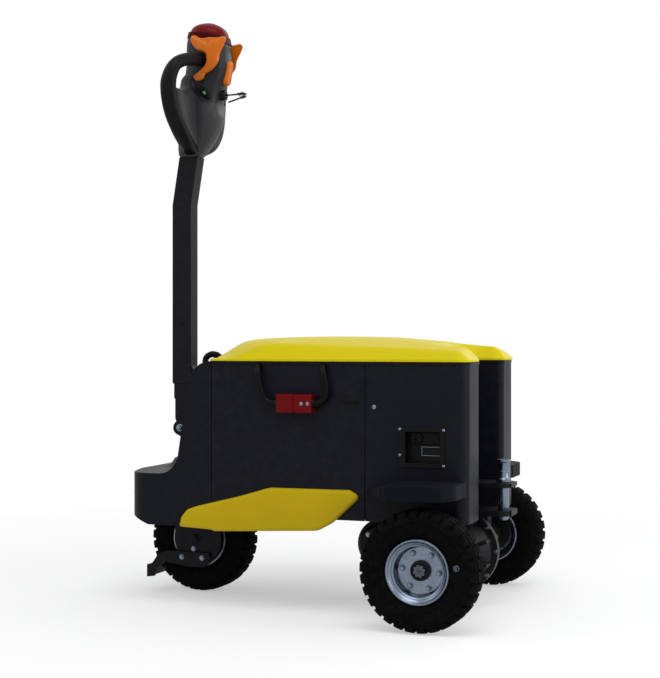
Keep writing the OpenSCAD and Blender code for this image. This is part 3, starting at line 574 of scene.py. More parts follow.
def skirt():
    """Yellow side plate with a rolled edge and a slightly raised field."""

    def outer(p, depth):
        bulge = SKIRT_ROLL[0] * round_edge(depth, SKIRT_ROLL[1]) + SKIRT_FIELD[0] * smooth(6, SKIRT_FIELD[1], depth)
        return side_on(p, -HALF_W - bulge)

    return slab(spread(fillet(SKIRT), 7), 9, outer, lambda p, depth: side_on(p, SKIRT_BACK),
                (0.3, 1, 2, 3.4, 5, 7, 11, 18))


piece("hood_shell", "hood", "hood_yellow", [hood()], ["hood"], angle=40)
# black strip: partly a sealing strip, partly painted shadow of the gap under the hood's rim
piece("hood_seal_and_gap_shade", "chassis", "black_plastic", [seal_and_gap_shade(), mirrored(seal_and_gap_shade())])
piece("skirt_plate_left", "chassis", "skirt_yellow", [skirt()], ["skirt_left"], angle=60)
piece("skirt_plate_right", "chassis", "skirt_yellow", [mirrored(skirt())], ["skirt_right"], angle=60)


# Pieces: wheels

# Half of the tyre's section as (radius, place): tread, with the depth of its grooves and the shares of its notches
# and middle cuts, then the sidewall
TREAD = [(129.9, 1.6, 5, 0, 0), (129.9, 3.2, 0, 0, 1), (129.9, 8, 0, 0, 1), (129.9, 13.5, 0, 0, 1),
         (129.9, 18, 0, 0, 1), (129.9, 19.6, 5, 0, 0), (129.8, 23, 5, 0, 0), (129.4, 24.6, 0, 1, 0),
         (128.6, 28, 0, 1, 0), (126.4, 32.6, 0, 1, 0), (123.2, 36.8, 0, 1, 0), (119, 40, 0, 0.8, 0),
         (115, 41.4, 0, 0.2, 0)]
SIDEWALL = [(110.5, 42.2), (107.6, 42.4), (107, 43), (105.6, 43), (105, 42.2), (98, 41.7), (91, 40.8), (85, 39.4),
            (84.2, 39.9), (82.4, 39.3), (81.8, 38.2), (77, 35.6), (73.6, 32.4), (71.4, 30.2), (66, 29.4), (57.8, 29)]
SECTION_MIDDLE, BLOCK_HALF = (85, 0), 20
NOTCH_DEEP, CUT_DEEP = 7, 6
# In shares of a lug's pitch: where the pattern turns, half of a notch, start of the first lug, stagger of the cuts
LUG_STEPS = (0, 0.12, 0.16, 0.25, 0.37, 0.5, 0.63, 0.75, 0.84, 0.88)
NOTCH_SHARE, LUG_START, STAGGER = 0.13, -0.17, 0.06


def tyre(x, y):
    """Block-tread tyre: notches across it in step with the part's lugs, and ridged sidewalls."""
    half = np.array(TREAD + [(r, place, 0, 0, 0) for r, place in SIDEWALL])
    section = np.concatenate([half, half[::-1] * (1, -1, 1, 1, 1)])
    line, (groove, notch, cut) = section[:, :2], section[:, 2:].T
    normal = square_to(line)
    normal *= np.sign(np.sum(normal * (line - SECTION_MIDDLE), 1))[:, None]
    slant = STAGGER * (1 - np.clip(np.abs(line[:, 1]) / BLOCK_HALF, 0, 1)) * np.sign(line[:, 1])
    rings = []
    for lug in range(LUGS):
        for step in LUG_STEPS:
            open_here = min(step, 1 - step) < NOTCH_SHARE
            deep = np.maximum.reduce([groove, open_here * NOTCH_DEEP * notch, open_here * CUT_DEEP * cut])
            r, place = (line - normal * deep[:, None]).T
            a = 2 * math.pi * (lug + LUG_START + step + slant) / LUGS - math.pi / 2
            rings.append(np.column_stack([x + r * np.cos(a), y + place, WHEEL_R + r * np.sin(a)]))
    return loft(rings, closed=True)


# Rim as (radius, place outwards): half of its bed, back and face of its disc, eye of a driven and a free wheel
RIM_BED = [(66, 36), (68.5, 35.6), (70, 34), (70, 31), (68, 30), (60, 29.5), (57.5, 27)]
RIM_BACK = [(64, -34), (61, -31), (55, -27), (53, -24), (53, -7), (50, -3), (45, -2)]
RIM_FACE = [(47, 3), (49, 3.4), (51.4, 5.6), (53, 9), (53, 23.5), (54, 26), (57.5, 28), (59, 29.4), (62, 31),
            (63.6, 33.4)]
DRIVE_EYE = [(21.8, -2), (21.8, 3)]
FREE_EYE = [(23, -2), (23, -42), (21, -44), (10.3, -44), (10.3, 44), (21, 44), (23, 42), (23, 3)]
# Its bolts: radius, angles and place outwards
BOLT_CIRCLE, BOLT_ANGLES, BOLT_OUT = 40, range(-5, 355, 60), 4.2
# Other turned sections on the wheels, as (radius, place outwards)
# washer under each rim bolt, darker than the rim: painted shadow round the bolt head
SHADE_WASHER = [(0, -2), (6.4, -2), (6.4, 0.3), (5.8, 0.8), (0, 0.8)]
HUB = [(0, -68), (16, -68), (17, -66), (17, -12), (42.5, -12), (43.5, -11), (43.5, -3), (42.5, -2),
       (21.5, -2), (21.5, 10.6), (20.2, 12), (17.5, 12), (16.5, 10), (0, 10)]
STUD = [(0, 8), (6, 8), (6, 17.6), (4.8, 18.8), (2.4, 18.8), (1.6, 17), (0, 17)]
VALVE_RING = [(0, 0), (7, 0), (7, 1.8), (6.2, 2.8), (5, 2.8), (4.6, 0.8), (0, 0.8)]
# Valve, from the middle of the wheel
VALVE_X, VALVE_OUT, VALVE_Z = 87, 39.6, 14
# Slotted nut: radius, number of slots, (share of the pitch, depth) round a tooth and its slot, and its two ends
NUT_R, SLOTS, NUT_ENDS = 13.6, 8, (9, 17)
TOOTH = ((0.04, 0), (0.3, 0), (0.56, 0), (0.62, 2.6), (0.98, 2.6))


def rim_bolts(x, y, out):
    return [(bx, y + BOLT_OUT * out, bz) for bx, bz in ring_places(x, WHEEL_R, BOLT_CIRCLE, BOLT_ANGLES)]


def rim(x, y, out, eye):
    """Dished rim with its bolts."""
    section = RIM_BED + [(r, -place) for r, place in RIM_BED[::-1]] + RIM_BACK + eye + RIM_FACE
    return [revolve(section, (x, y, WHEEL_R), (0, out, 0), 96)] + [
        s for at in rim_bolts(x, y, out) for s in hex_bolt(at, (0, out, 0), 4.4, 6.5)]


def hub_nut(y, out):
    turns = [(2 * math.pi * (k + f) / SLOTS, NUT_R - cut) for k in range(SLOTS) for f, cut in TOOTH]
    outline = np.array([(r * math.cos(a), r * math.sin(a)) for a, r in turns])
    nut = loft([side_on(outline, y + out * end, AXLE_X, WHEEL_R) for end in NUT_ENDS])
    return [nut, revolve(STUD, (AXLE_X, y, WHEEL_R), (0, out, 0), 24)]


piece("front_tyre_tread", "front_wheel", "tyre_rubber", [tyre(STEER_X, 0)], ["front_tyre"], angle=42)
piece("front_rim_dish", "front_wheel", "zinc", rim(STEER_X, 0, -1, FREE_EYE), ["front_rim"], angle=30)
for side, out in (("left", -1), ("right", 1)):
    body, y, axis = "rear_wheel_" + side, out * WHEEL_Y, (0, out, 0)
    valve_at = (AXLE_X + VALVE_X, out * (WHEEL_Y + VALVE_OUT), WHEEL_R + VALVE_Z)
    piece("rear_tyre_tread_" + side, body, "tyre_rubber", [tyre(AXLE_X, y)], ["rear_tyre_" + side], angle=42)
    piece("rear_rim_dish_" + side, body, "zinc", rim(AXLE_X, y, out, DRIVE_EYE), ["rear_rim_" + side], angle=30)
    piece("rear_hub_boss_" + side, body, "hub_steel", [revolve(HUB, (AXLE_X, y, WHEEL_R), axis, 64)],
          ["rear_hub_" + side], angle=30)
    piece("rear_hub_nut_" + side, body, "hub_steel", hub_nut(y, out), bevel=0.5, look="dull_steel_and_shade")
    # darker washers under the rim bolts: painted shadow round each bolt head
    piece("rim_washers_painted_shade_" + side, body, "hub_steel",
          [revolve(SHADE_WASHER, at, axis, 28) for at in rim_bolts(AXLE_X, y, out)], look="dull_steel_and_shade")
    piece("valve_boss_" + side, body, "hub_steel", [revolve(VALVE_RING, valve_at, axis, 28)], look="dull_steel_and_shade")


# Pieces: tiller head

def head_x(z):
    """Axis of the head, which leans from the bend of its tube."""
    return ARM_X + (z - BEND_Z) * HEAD_LEAN


def closed_curve(points):
    """Smooth closed outline through the points."""
    p = np.asarray(points, float)
    around = np.concatenate([p[-1:], p, p[:2]])
    per = 5
    line = curve(around, per * (len(around) - 1))
    return line[per:per * (len(p) + 1)]


def oval(z, x, half_x, half_y, tilt, power=0.7):
    """Rounded section of the head at height z; tilt 1 sets it square to the head's axis."""
    c, s = squared_circle(72, power)
    px = x + half_x * c
    return np.column_stack([px, half_y * s, z - tilt * HEAD_LEAN * (px - head_x(z))])


# Height above the foot of the head, shift, half-sizes and tilt of its sections
HEAD_SECTIONS = [(0, 0, 30, 25, 0), (22, 4, 39, 32, 0), (55, 11, 48, 40, 0), (95, 13, 53, 45, 0),
                 (128, 9, 49, 45, 0.3), (172, 9, 50, 45, 0.6), (222, 12, 53, 46, 1), (260, 6, 53, 46, 1),
                 (284, 3, 51, 45, 1), (298, 1, 49, 43, 1)]
HEAD_H = 298
HEAD_TOP = HEAD_Z + HEAD_H
# Parting groove: height and depth; (depth, height) of the rounding at the foot and the top
GROOVE_H, GROOVE = 282, 1.6
FOOT_ROUND, TOP_ROUND = (4, 9), (2.5, 5)


def head_core():
    """Moulded head with a parting groove under its top and rounded ends."""
    rings = []
    for height, shift, half_x, half_y, tilt in curve(HEAD_SECTIONS, 90):
        groove = GROOVE * math.exp(-((height - GROOVE_H) / GROOVE) ** 2)
        ends = sum(deep * (1 - round_edge(inward, r))
                   for (deep, r), inward in ((FOOT_ROUND, height), (TOP_ROUND, HEAD_H - height)))
        grow = -groove - ends
        z = HEAD_Z + height
        rings.append(oval(z, head_x(z) + shift, half_x + grow, half_y + grow, tilt))
    return loft(rings)


# Web in a hand loop as (reach, height above the foot of the head); its middle, half-thickness and rounding
WEB = [(8, 20), (36, 20), (72, 35), (104, 61), (127, 96), (140, 145), (130, 154), (101, 151), (76, 157), (58, 172),
       (44, 197), (8, 197)]
WEB_X, WEB_HALF, WEB_ROUND = head_x(HEAD_Z + 70), 22, 15


def head_web():
    def face(way):
        return lambda p, depth: np.column_stack([
            WEB_X + way * WEB_HALF * round_edge(depth, WEB_ROUND), -p[:, 0], HEAD_Z + p[:, 1]])

    return slab(spread(closed_curve(WEB), 5), 6, face(1), face(-1), (0.4, 1.2, 2.6, 4.5, 7, 10, 14))


# Hand loop as (shift from the axis, reach, height above the foot of the head), from the grip to the guard
LOOP_ROUTE = [(10, 30, 234), (4, 75, 229), (-5, 112, 221), (-14, 136, 204), (-19, 145, 172), (-15, 143, 137),
              (-6, 131, 97), (3.5, 106, 62), (9, 72, 35), (8, 36, 20), (7, 10, 15)]
# Where the grip turns into the guard, and its sleeve's ridge, on a loop of LOOP_LONG
LOOP_LONG, GUARD_FROM, GUARD_TO, RIDGE_AT, RIDGE_HALF = 36, 8, 16, 9.2, 0.18
GRIP_R, RIDGE_H = 15.5, 0.5


def hand_loop():
    """Round grip that turns into a broad flat guard."""
    path = curve([(head_x(HEAD_Z + dz) + dx, -y, HEAD_Z + dz) for dx, y, dz in LOOP_ROUTE], 120)
    along = np.linspace(0, LOOP_LONG, len(path))
    guard = smooth(GUARD_FROM, GUARD_TO, along)
    ridge = RIDGE_H * np.exp(-((along - RIDGE_AT) / RIDGE_HALF) ** 2)
    sizes = np.column_stack([GRIP_R - 2.5 * guard + ridge, GRIP_R + 3.5 * guard + ridge])
    return sweep(path, sizes, (1, 0, 0.1), 32, 1 - 0.28 * guard)


# Red cap as (height from the top of the head, half-sizes), and the gaiter under it, which is slimmer across
CAP = [(0, 47, 41), (10, 45, 39), (19, 38, 33), (26, 26, 23), (31, 10, 9)]
COLLAR = [(-14.5, 49.5), (-14, 52.2), (-11, 52.1), (-9.5, 51.4), (-8, 51.6), (-6, 50.8), (-4.5, 51), (-2.5, 50.1),
          (-1, 50.2), (1, 49.4), (2.5, 48), (3.5, 46)]
COLLAR_SLIMMER = 6


def belly_cap():
    return loft([oval(HEAD_TOP + h, head_x(HEAD_TOP + h) + 1, half_x, half_y, 1, 0.85)
                 for h, half_x, half_y in curve(CAP, 28)])


def head_collar():
    """Gaiter between the head and the red cap, in a darker red that is painted shade under the cap."""
    return loft([oval(HEAD_TOP + h, head_x(HEAD_TOP + h) + 1 + max(0, -h) / 7, half_x, half_x - COLLAR_SLIMMER, 1)
                 for h, half_x in COLLAR])


# Thumb paddle in side view from its middle, inner face and thickness of its plate
PADDLE = [(-48, 44), (-34, 25), (-8, 12), (-9, -14), (-30, -31), (-43, -41), (-32, -52), (-17, -47), (-10, -36),
          (8, -26), (24, -8), (28, 11), (41, 36), (44, 47), (37, 53), (20, 51), (0, 53), (-22, 52), (-38, 60),
          (-48, 58)]
PADDLE_Z = HEAD_Z + 232
PADDLE_X = head_x(PADDLE_Z) + 34
PADDLE_IN, PADDLE_T = 50, 10
# Foot of the V between its upper wings, and the slopes of the V
PADDLE_V, V_SLOPES = (-4, 33), (0.55, 0.35)
# Its shaft as (radius, reach), and the shaft's rise
PADDLE_SHAFT, SHAFT_UP = [(0, 20), (9, 20), (9, 50.4), (0, 50.4)], 6


def paddle():
    """Butterfly rocker on its shaft, sunk between its upper wings, with thinner tips."""

    def outer(p, depth):
        x, z = p.T
        wings = PADDLE_V[1] + np.where(x < PADDLE_V[0], *V_SLOPES) * np.abs(x - PADDLE_V[0])
        sunk = 6 * smooth(-1, 5, z - wings) + 3.5 * smooth(14, 34, np.abs(x)) + 3 * smooth(-14, -46, z)
        return side_on(p, -PADDLE_IN - (PADDLE_T - sunk) * round_edge(depth, 4.5), PADDLE_X, PADDLE_Z)

    def inner(p, depth):
        return side_on(p, -PADDLE_IN, PADDLE_X, PADDLE_Z)

    plate = slab(spread(closed_curve(PADDLE), 3), 3.5, outer, inner, (0.3, 0.9, 1.8, 3, 4.4, 6.2, 8.4))
    return [plate, revolve(PADDLE_SHAFT, (PADDLE_X, 0, PADDLE_Z + SHAFT_UP), LEFT, 32)]


# Long button: height, half-sizes and corners; its back, edge and face along its way out
BUTTON_Z = HEAD_Z + 213
BUTTON_LONG, BUTTON_WIDE, BUTTON_CORNER = 31, 13, 12.9
BUTTON_IN, BUTTON_EDGE, BUTTON_OUT = 40.0, 64, 73


def head_button():
    """Long push button with a thumb hollow, square to the head's axis."""
    lean = math.atan(HEAD_LEAN)
    out = np.array((math.cos(lean), 0, -math.sin(lean)))
    down = np.array((-math.sin(lean), 0, -math.cos(lean)))
    middle = np.array((head_x(BUTTON_Z), 0, BUTTON_Z))
    corners = [(u * BUTTON_LONG, v * BUTTON_WIDE, BUTTON_CORNER) for u, v in ((-1, -1), (1, -1), (1, 1), (-1, 1))]

    def place(p, reach):
        return middle + np.outer(p[:, 0], down) + np.outer(p[:, 1], (0, 1, 0)) + np.outer(reach, out)

    def face(p, depth):
        soft = (BUTTON_OUT - BUTTON_EDGE) * round_edge(depth, 6)
        return place(p, BUTTON_EDGE + soft - 1.6 * smooth(5, 12, depth))

    def back(p, depth):
        return place(p, np.full(len(p), BUTTON_IN))

    return slab(spread(fillet(corners), 3), 3.5, face, back, (0.4, 1.2, 2.4, 4, 6, 9))


# Key switch: its lock as (radius, reach), the key in it, a second key and their ring
KEY_Z = HEAD_Z + 150
KEY_LOCK = [(0, 40), (13, 40), (13, 66), (12, 68.5), (9, 70), (7, 70), (6.4, 68.6), (0, 68.6)]
KEY_AT, SPARE_KEY_AT, KEY_RING_AT = (head_x(KEY_Z) + 66, 0, KEY_Z), (-264, 3, KEY_Z - 17), (-226, 1, KEY_Z - 1)
BLADE_HALF, RING_R, WIRE_R = 4, 7, 0.9


def key_blade(at, length, rise, bow):
    """Flat key along X that climbs by rise: blade, then a round bow with a thinner middle."""
    x, y, z = at
    a = np.linspace(math.radians(200), math.radians(520), 40)
    head = np.column_stack([length - bow + bow * np.cos(a), bow * np.sin(a)])
    outline = spread(np.concatenate([head[::-1], [(0, -BLADE_HALF), (0, BLADE_HALF)]])[::-1], 3)

    def face(up):
        return lambda p, depth: np.column_stack([
            x + p[:, 0], y + p[:, 1],
            z + rise * p[:, 0] / length + up * (0.5 + round_edge(depth, 1.5) - 0.5 * smooth(2, 5, depth))])

    return slab(outline, 3, face(1), face(-1), (0.4, 1, 2, 4))


def key_ring(at):
    """One slanting turn of wire."""
    a = np.linspace(0, 2 * math.pi, 29)
    path = np.asarray(at) + np.column_stack([RING_R * np.cos(a), 0.4 * a - 1.2, RING_R * np.sin(a)])
    return sweep(path, [(WIRE_R, WIRE_R)] * len(path), (0, 1, 0), 8)


LAMP, LAMP_SLANT, LAMP_SUNK = (-308, -44.6, 1221), math.radians(-48), 8


def lamp_oval(long, wide, low, high, shift=0.0):
    """Pillow on the left flank of the head, slanting down to the body."""
    a = np.arange(48) * math.pi / 24
    u, v = long * np.cos(a) + shift, wide * np.sin(a)
    c, s = math.cos(LAMP_SLANT), math.sin(LAMP_SLANT)
    outline = np.column_stack([u * c - v * s, u * s + v * c])
    x, y, z = LAMP

    def face(p, depth):
        return side_on(p, y - low - (high - low) * round_edge(depth, 0.5 * wide), x, z)

    return slab(outline, 2.5, face, lambda p, depth: side_on(p, y + LAMP_SUNK, x, z), (0.4, 1, 1.8, 2.8))


web, loop, flap = head_web(), hand_loop(), paddle()
piece("head_moulding", "tiller", "head_grey", [head_core(), web, mirrored(web)], ["tiller_head"], angle=50)
piece("loop_grips", "tiller", "black_plastic", [loop, mirrored(loop)], ["hand_loops"], angle=60)
# the gaiter takes the darker red of painted shade under the cap
piece("head_collar", "tiller", "red_plastic", [head_collar()], angle=50, look="red_painted_shade")
piece("belly_cap", "tiller", "red_plastic", [belly_cap()], ["belly_switch"], angle=60)
piece("butterfly_paddles", "tiller", "orange_plastic", flap + [mirrored(s) for s in flap], ["thumb_paddles"],
      angle=50)
piece("push_button", "tiller", "orange_plastic", [head_button()], ["head_button"], angle=50)
piece("key_lock", "tiller", "black_plastic",
      [revolve(KEY_LOCK, (head_x(KEY_Z), 0, KEY_Z), (1, 0, 0), 40), key_blade(KEY_AT, 57, 1.0, 13.0),
       key_blade(SPARE_KEY_AT, 48, 13, 9), key_ring(KEY_RING_AT)], ["key_switch"], angle=40)
piece("lamp_bezel", "tiller", "black_plastic", [lamp_oval(21, 10, -1, 2.6)], angle=60)
piece("lamp_lens", "tiller", "black_plastic", [lamp_oval(5.2, 3.8, 1.6, 4.2, 3)], angle=60, look="green_lens")


# Pieces: leads and their connector

# Battery leads: place outside the panel, radius, and the holes that they come out of
LEAD_Y, LEAD_R, LEAD_Z = -240, 7, 557
LEAD_X = (PLUG_X - 95, PLUG_X + 62)
# Run through the panel, bends of each lead as (x from its hole, z), and run into the plug
HOLE_YS, LEAD_IN = (-211, -227), 10
LEAD_BENDS = [[(3, 543), (8, 511), (22, 482)], [(4, 543), (10, 511), (8, 486)]]
# Ribbed control lead from the cowl to the steering column, and its ties as (place, direction)
CONTROL = [(-226, 0, 548), (-246, 0, 548), (-266, 0, 550), (-282, 0, 571), (-303, 0, 581), (-322, 0, 572),
           (STEER_X, 0, 548), (STEER_X, 0, 524)]
CONTROL_R, CONTROL_RIB = 8, 0.9
TIES = [((-294, 0, 577.5), (1, 0, -0.42)), ((-276, 0, 563), (0.8, 0, -1.2))]
# Strain relief at a plug as (radius, place outwards)
BOOT = [(0, -1), (10.5, -1), (10.5, 3), (9.4, 4), (9.4, 6), (10, 7), (9, 8.4), (8.8, 10), (9.2, 11), (7.4, 14),
        (0, 14)]
# Plug: outer face, half-height, corners and rounding; key rib, grip ribs and screws
PLUG_OUT, PLUG_H, PLUG_CORNER, PLUG_EDGE = -HALF_W - 30, 20.5, 3, 2.5
KEY_HALF, KEY_H = 4, 18
GRIP_X, GRIP_LONG, GRIP_ZS = PLUG_X - 36, 26, (PLUG_Z + 9, PLUG_Z - 12)
PLUG_SCREWS = (PLUG_X + 19, PLUG_X + 34)


def lead_route(x, out, bends):
    """Route of a battery lead from inside the panel down to its plug."""
    end = PLUG_X + out * PLUG_HALF
    return ([(x, y, LEAD_Z) for y in HOLE_YS] + [(x + dx, LEAD_Y, z) for dx, z in bends]
            + [(end + out * LEAD_IN, LEAD_Y, PLUG_Z), (end, LEAD_Y, PLUG_Z)])


def tube(route, r, steps, ridge=0.0):
    """Round lead along a route; ridge makes it a ribbed conduit."""
    path = curve(route, steps)
    size = r - ridge * (np.arange(len(path)) // 2 % 2)
    return sweep(path, np.column_stack([size, size]), (0, 1, 0) if ridge else (0.3, 0.2, 0.93), 20)


def side_block(x0, x1, z0, z1, y_out, y_in, r, edge):
    """Block on the left side: corners of r seen from the side, outer edge rounded."""
    outline = spread(fillet([(x0, z0, r), (x1, z0, r), (x1, z1, r), (x0, z1, r)]), 5)

    def outer(p, depth):
        return side_on(p, y_out + edge * (1 - round_edge(depth, edge)))

    return slab(outline, 6, outer, lambda p, depth: side_on(p, y_in),
                (0.1 * edge, 0.35 * edge, 0.7 * edge, edge, edge + 2))


def grommet(at, r):
    """Rubber ring round a lead of radius r where it leaves the panel."""
    return revolve([(r + 0.2, -3), (r + 4.5, -3), (r + 4.5, 1), (r + 3.6, 2.4), (r + 1.8, 3), (r + 0.2, 2.2)],
                   at, LEFT, 32)


def cable_tie(at, axis, r):
    """Band round a lead with its buckle's cut tail."""
    u, v = across(axis)
    tail = np.array([np.asarray(at) + u * (r + 1) + v * k for k in (0, 6, 12, 16)])
    return [revolve([(r, -2), (r + 1.3, -2), (r + 1.3, 2), (r, 2)], at, axis, 28),
            sweep(tail, [(0.7, 1.7)] * len(tail), axis, 8, 0.4)]


plug_halves = [side_block(x0, x1, PLUG_Z - PLUG_H, PLUG_Z + PLUG_H, PLUG_OUT, -HALF_W, PLUG_CORNER, PLUG_EDGE)
               for x0, x1 in ((PLUG_X - PLUG_HALF, PLUG_X - 1), (PLUG_X + 1, PLUG_X + PLUG_HALF))]
key_rib = side_block(PLUG_X - KEY_HALF, PLUG_X + KEY_HALF, PLUG_Z - KEY_H, PLUG_Z + KEY_H, PLUG_OUT + 2, -HALF_W,
                     1.5, 1.5)
grip_ribs = [side_block(GRIP_X, GRIP_X + GRIP_LONG, z, z + 3, PLUG_OUT - 0.9, PLUG_OUT + 6, 1.4, 0.9)
             for z in GRIP_ZS]
piece("connector_halves", "chassis", "red_plastic", plug_halves + [key_rib] + grip_ribs, ["battery_connector"],
      angle=40)
piece("connector_screws", "chassis", "zinc",
      [dome_screw((x, PLUG_OUT + 0.2, PLUG_Z), LEFT, 4.4, 1.8) for x in PLUG_SCREWS])
leads = [tube(lead_route(x, out, bends), LEAD_R, 72) for x, out, bends in zip(LEAD_X, (-1, 1), LEAD_BENDS)]
grommets = [grommet((x, -HALF_W, LEAD_Z), LEAD_R) for x in LEAD_X]
boots = [revolve(BOOT, (PLUG_X + out * PLUG_HALF, LEAD_Y, PLUG_Z), (out, 0, 0), 28) for out in (-1, 1)]
piece("battery_leads", "chassis", "cable_black", leads + grommets + boots, ["battery_cables"], angle=50)
ties = [s for at, axis in TIES for s in cable_tie(at, axis, CONTROL_R)]
piece("control_conduit", "chassis", "cable_black", [tube(CONTROL, CONTROL_R, 150, CONTROL_RIB)] + ties,
      ["control_cable"], angle=50)


# Pieces: fasteners and small fittings

# Screws (x, z) of the charging pocket, screw and pull of the panel
PORT_SCREWS, PORT_RIM = [(249, 421), (348, 420), (249, 364), (348, 342)], -HALF_W - 2.6
PANEL_SCREW = (189, -HALF_W, 468)
PANEL_PULL = (112, 152, 476, 488, -HALF_W - 3.2, -HALF_W + 1)
# Blank label in the pocket as (x, x, z, z), faces of it and of its frame, and the frame's width
LABEL = (PORT_X - 8, PORT_X + 36, PORT_Z - 19, PORT_Z + 1)
LABEL_YS, FRAME_YS, FRAME_W = (-204.4, -199), (-205, -203), 1.2
# Charging socket: its block, and its collar as (radius, place outwards)
SOCKET_BLOCK = (PORT_X - 34, PORT_X + 34, PORT_Z + 6, PORT_Z + 33, -209, -200)
COLLAR_AT = (PORT_X - 14, -208, PORT_Z + 20)
SOCKET_COLLAR = [(0, -4), (11, -4), (11, 5), (9.8, 6.4), (7.6, 6.4), (7, 2), (0, 2)]
# Bolts of the foot guard as (x, z, reach), of the axle case and of the motor's end
FORK_BOLTS = [(-357, 87, 66), (-303, 87, 66), (-329, 107, 58)]
CASE_CIRCLE, CASE_ANGLES, CASE_FLANGE = 84.5, (0, 40, 160, 200, 320), 9
MOTOR_CIRCLE, MOTOR_ANGLES = 34, (45, 135, 225, 315)
# Tow pin as (radius, height): point, shank, flange, grip with a groove, and head
TOW_PIN = [(0, 203), (7.5, 203), (8.6, 203.7), (12.2, 208.3), (12.5, 209.6), (12.5, 290.3), (15.6, 290.3),
           (16.5, 291.2), (16.5, 297.2), (15.7, 298.2), (14.1, 299.8), (13.6, 301.2), (13.6, 316), (13, 316.8),
           (13, 318.2), (13.6, 319), (13.6, 333.4), (14.1, 334.9), (15.7, 336.2), (16.5, 337.2), (16.5, 341.2),
           (15.4, 342.3), (3.4, 342.3), (2.2, 341.2), (0, 341.2)]
# Plugs in the tiller tube as (radius, place outwards), their reach and height
TUBE_PLUG = [(0, -1), (7.5, -1), (7.5, 0.8), (6.6, 1.8), (0, 2.4)]
TUBE_HALF, TUBE_PLUG_Z = 20, 660


def label_frame():
    """Four thin bars round the label."""
    x0, x1, z0, z1 = LABEL
    bars = ((x0, x1, z0, z0 + FRAME_W), (x0, x1, z1 - FRAME_W, z1),
            (x0, x0 + FRAME_W, z0, z1), (x1 - FRAME_W, x1, z0, z1))
    return [side_block(*bar, *FRAME_YS, 0.4, 0.3) for bar in bars]


def capped_shaft(x, z, r, reach, nut, stud_r):
    """Shaft across the tug with a washer, a nut and its stud at both ends."""
    shapes = [revolve([(0, -reach), (r, -reach), (r, reach), (0, reach)], (x, 0, z), (0, 1, 0), 32)]
    stud = [(0, 0), (stud_r, 0), (stud_r, 7), (stud_r - 1, 7.8), (0, 7.8)]
    for out in (-1, 1):
        end, axis = (x, out * reach, z), (0, out, 0)
        shapes += hex_bolt(end, axis, nut, 6.5) + [revolve(stud, end, axis, 24)]
    return shapes


def bolt_pairs(places, r, h):
    """Bolts on both sides of the tug, at places (x, z, reach)."""
    return [s for x, z, y in places for out in (-1, 1) for s in hex_bolt((x, out * y, z), (0, out, 0), r, h)]


piece("port_screws", "chassis", "zinc", [dome_screw((x, PORT_RIM, z), LEFT, 3.6, 2.2) for x, z in PORT_SCREWS])
piece("panel_screw", "chassis", "zinc", [dome_screw(PANEL_SCREW, LEFT, 5, 2.6)])
piece("panel_pull", "chassis", "black_plastic", [side_block(*PANEL_PULL, 5.5, 3)], angle=50)
piece("port_label", "chassis", "black_plastic", [side_block(*LABEL, *LABEL_YS, 2, 0.6)], look="label_plate")
piece("label_frame", "chassis", "zinc", label_frame())
piece("port_socket", "chassis", "black_plastic",
      [side_block(*SOCKET_BLOCK, 4, 2), revolve(SOCKET_COLLAR, COLLAR_AT, LEFT, 36)], angle=40)
piece("axle_nuts", "steer", "black_paint", capped_shaft(STEER_X, WHEEL_R, 9.9, LEG_OUT, 11, 6), ["front_axle"])
piece("pivot_bolt", "steer", "zinc", capped_shaft(*PIVOT, 7.9, 26.5, 7, 4), ["tiller_pin"])
piece("fork_bolts", "steer", "zinc", bolt_pairs(FORK_BOLTS, 5, 4.5))
case_places = [(*at, CASE_FLANGE) for at in ring_places(AXLE_X, WHEEL_R, CASE_CIRCLE, CASE_ANGLES)]
piece("case_bolts", "chassis", "zinc", bolt_pairs(case_places, 4.2, 4.5))
piece("motor_bolts", "chassis", "zinc",
      [s for x, z in ring_places(MOTOR_X, MOTOR_Z, MOTOR_CIRCLE, MOTOR_ANGLES)
       for s in hex_bolt((x, MOTOR_END, z), LEFT, 4.6, 5)])
piece("tow_pin", "hitch_pin", "zinc", [revolve(TOW_PIN, (TOW_X, 0, 0), UP, 48)], ["hitch_pin"], angle=30)
piece("tube_plugs", "tiller", "black_plastic",
      [revolve(TUBE_PLUG, (ARM_X, out * TUBE_HALF, TUBE_PLUG_Z), (0, out, 0), 28) for out in (-1, 1)], angle=40)


# Studio

# Level camera at the photograph's viewing angle: place, heading in degrees, lens and sensor
CAMERA_AT, CAMERA_HEADING = (1.1813, -3.2392, 0.6183), 19.98
LENS, SENSOR = 76.35, 36.0
# Light of the world; floor's reach, where it fades, and its least share of white
FILL_LIGHT = 0.55
FLOOR_REACH, FLOOR_FADE, FLOOR_WHITE = 14, (0.5, 2.1), 0.45
# Soft lights as (name, place, size, power), and where they look
SOFTBOXES = [("key", (0.6, -1.6, 3.4), 2.4, 52), ("right", (3.4, -0.2, 1.5), 1.8, 46),
             ("back", (1.2, 2.8, 2.6), 2.2, 26), ("front", (-2.8, -1.2, 2.4), 2.2, 18)]
AIM = (0, 0, 0.5)


def photo_camera():
    lens = bpy.data.cameras.new("photo_camera")
    lens.lens, lens.sensor_width = LENS, SENSOR
    camera = add("photo_camera", lens)
    camera.location = CAMERA_AT
    camera.rotation_euler = (math.radians(90), 0, math.radians(CAMERA_HEADING))
    bpy.context.scene.camera = camera


def seen_directly(tree):
    """1 for rays that show a surface to the camera, even by a mirror or glass, else 0."""
    path = tree.nodes.new("ShaderNodeLightPath")
    last = path.outputs["Is Camera Ray"]
    for name in ("Is Glossy Ray", "Is Transmission Ray"):
        either = tree.nodes.new("ShaderNodeMath")
        either.operation = "MAXIMUM"
        tree.links.new(last, either.inputs[0])
        tree.links.new(path.outputs[name], either.inputs[1])
        last = either.outputs[0]
    return last


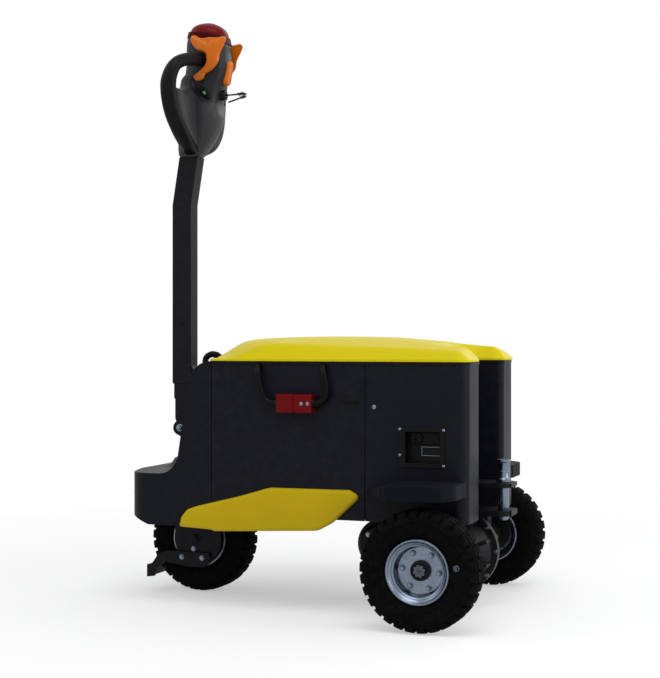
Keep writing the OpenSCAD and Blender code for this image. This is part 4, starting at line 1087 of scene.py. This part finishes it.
def white_world():
    """Soft even light, with a white backdrop where it is seen."""
    world = bpy.data.worlds.new("studio")
    bpy.context.scene.world = world
    world.use_nodes = True
    tree = world.node_tree
    light, backdrop = tree.nodes["Background"], tree.nodes.new("ShaderNodeBackground")
    for source, colour, strength in ((light, (0.95, 0.97, 1, 1), FILL_LIGHT), (backdrop, (1, 1, 1, 1), 1)):
        source.inputs["Color"].default_value, source.inputs["Strength"].default_value = colour, strength
    choice = tree.nodes.new("ShaderNodeMixShader")
    for source, socket in zip((seen_directly(tree), light.outputs[0], backdrop.outputs[0]), choice.inputs):
        tree.links.new(source, socket)
    tree.links.new(choice.outputs[0], tree.nodes["World Output"].inputs["Surface"])


def studio_floor():
    """Pale floor with the object's shadow, which runs out into the white backdrop."""
    mesh = bpy.data.meshes.new("floor")
    corners = [(FLOOR_REACH * math.cos(a), FLOOR_REACH * math.sin(a), 0) for a in np.arange(64) * math.pi / 32]
    mesh.from_pydata(corners, [], [list(range(len(corners)))])
    floor = add("floor", mesh)
    look = Look("floor", 0.9, level=0.1)
    look.set(Base_Color=(0.92, 0.92, 0.92, 1))
    distance = look.node("ShaderNodeVectorMath", {"operation": "LENGTH"})
    look.feed(distance.inputs[0], look.place)
    away = look.span(distance.outputs["Value"], FLOOR_WHITE, 1, *FLOOR_FADE)
    white = look.node("ShaderNodeEmission", Color=(1, 1, 1, 1), Strength=1.0)
    choice = look.node("ShaderNodeMixShader")
    share = look.math("MULTIPLY", away, seen_directly(look.tree))
    for socket, source in zip(choice.inputs, (share, look.shader.outputs[0], white.outputs[0])):
        look.feed(socket, source)
    look.feed(look.tree.nodes["Material Output"].inputs["Surface"], choice.outputs[0])
    mesh.materials.append(look.material)


def softbox(name, place, size, power):
    lamp = bpy.data.lights.new(name, "AREA")
    lamp.shape, lamp.size, lamp.energy = "SQUARE", size, power
    made = add(name, lamp)
    made.location = place
    made.rotation_euler = (Vector(AIM) - Vector(place)).to_track_quat("-Z", "Y").to_euler()


photo_camera()
white_world()
studio_floor()
for box in SOFTBOXES:
    softbox(*box)
bpy.context.scene.view_settings.view_transform = "Standard"
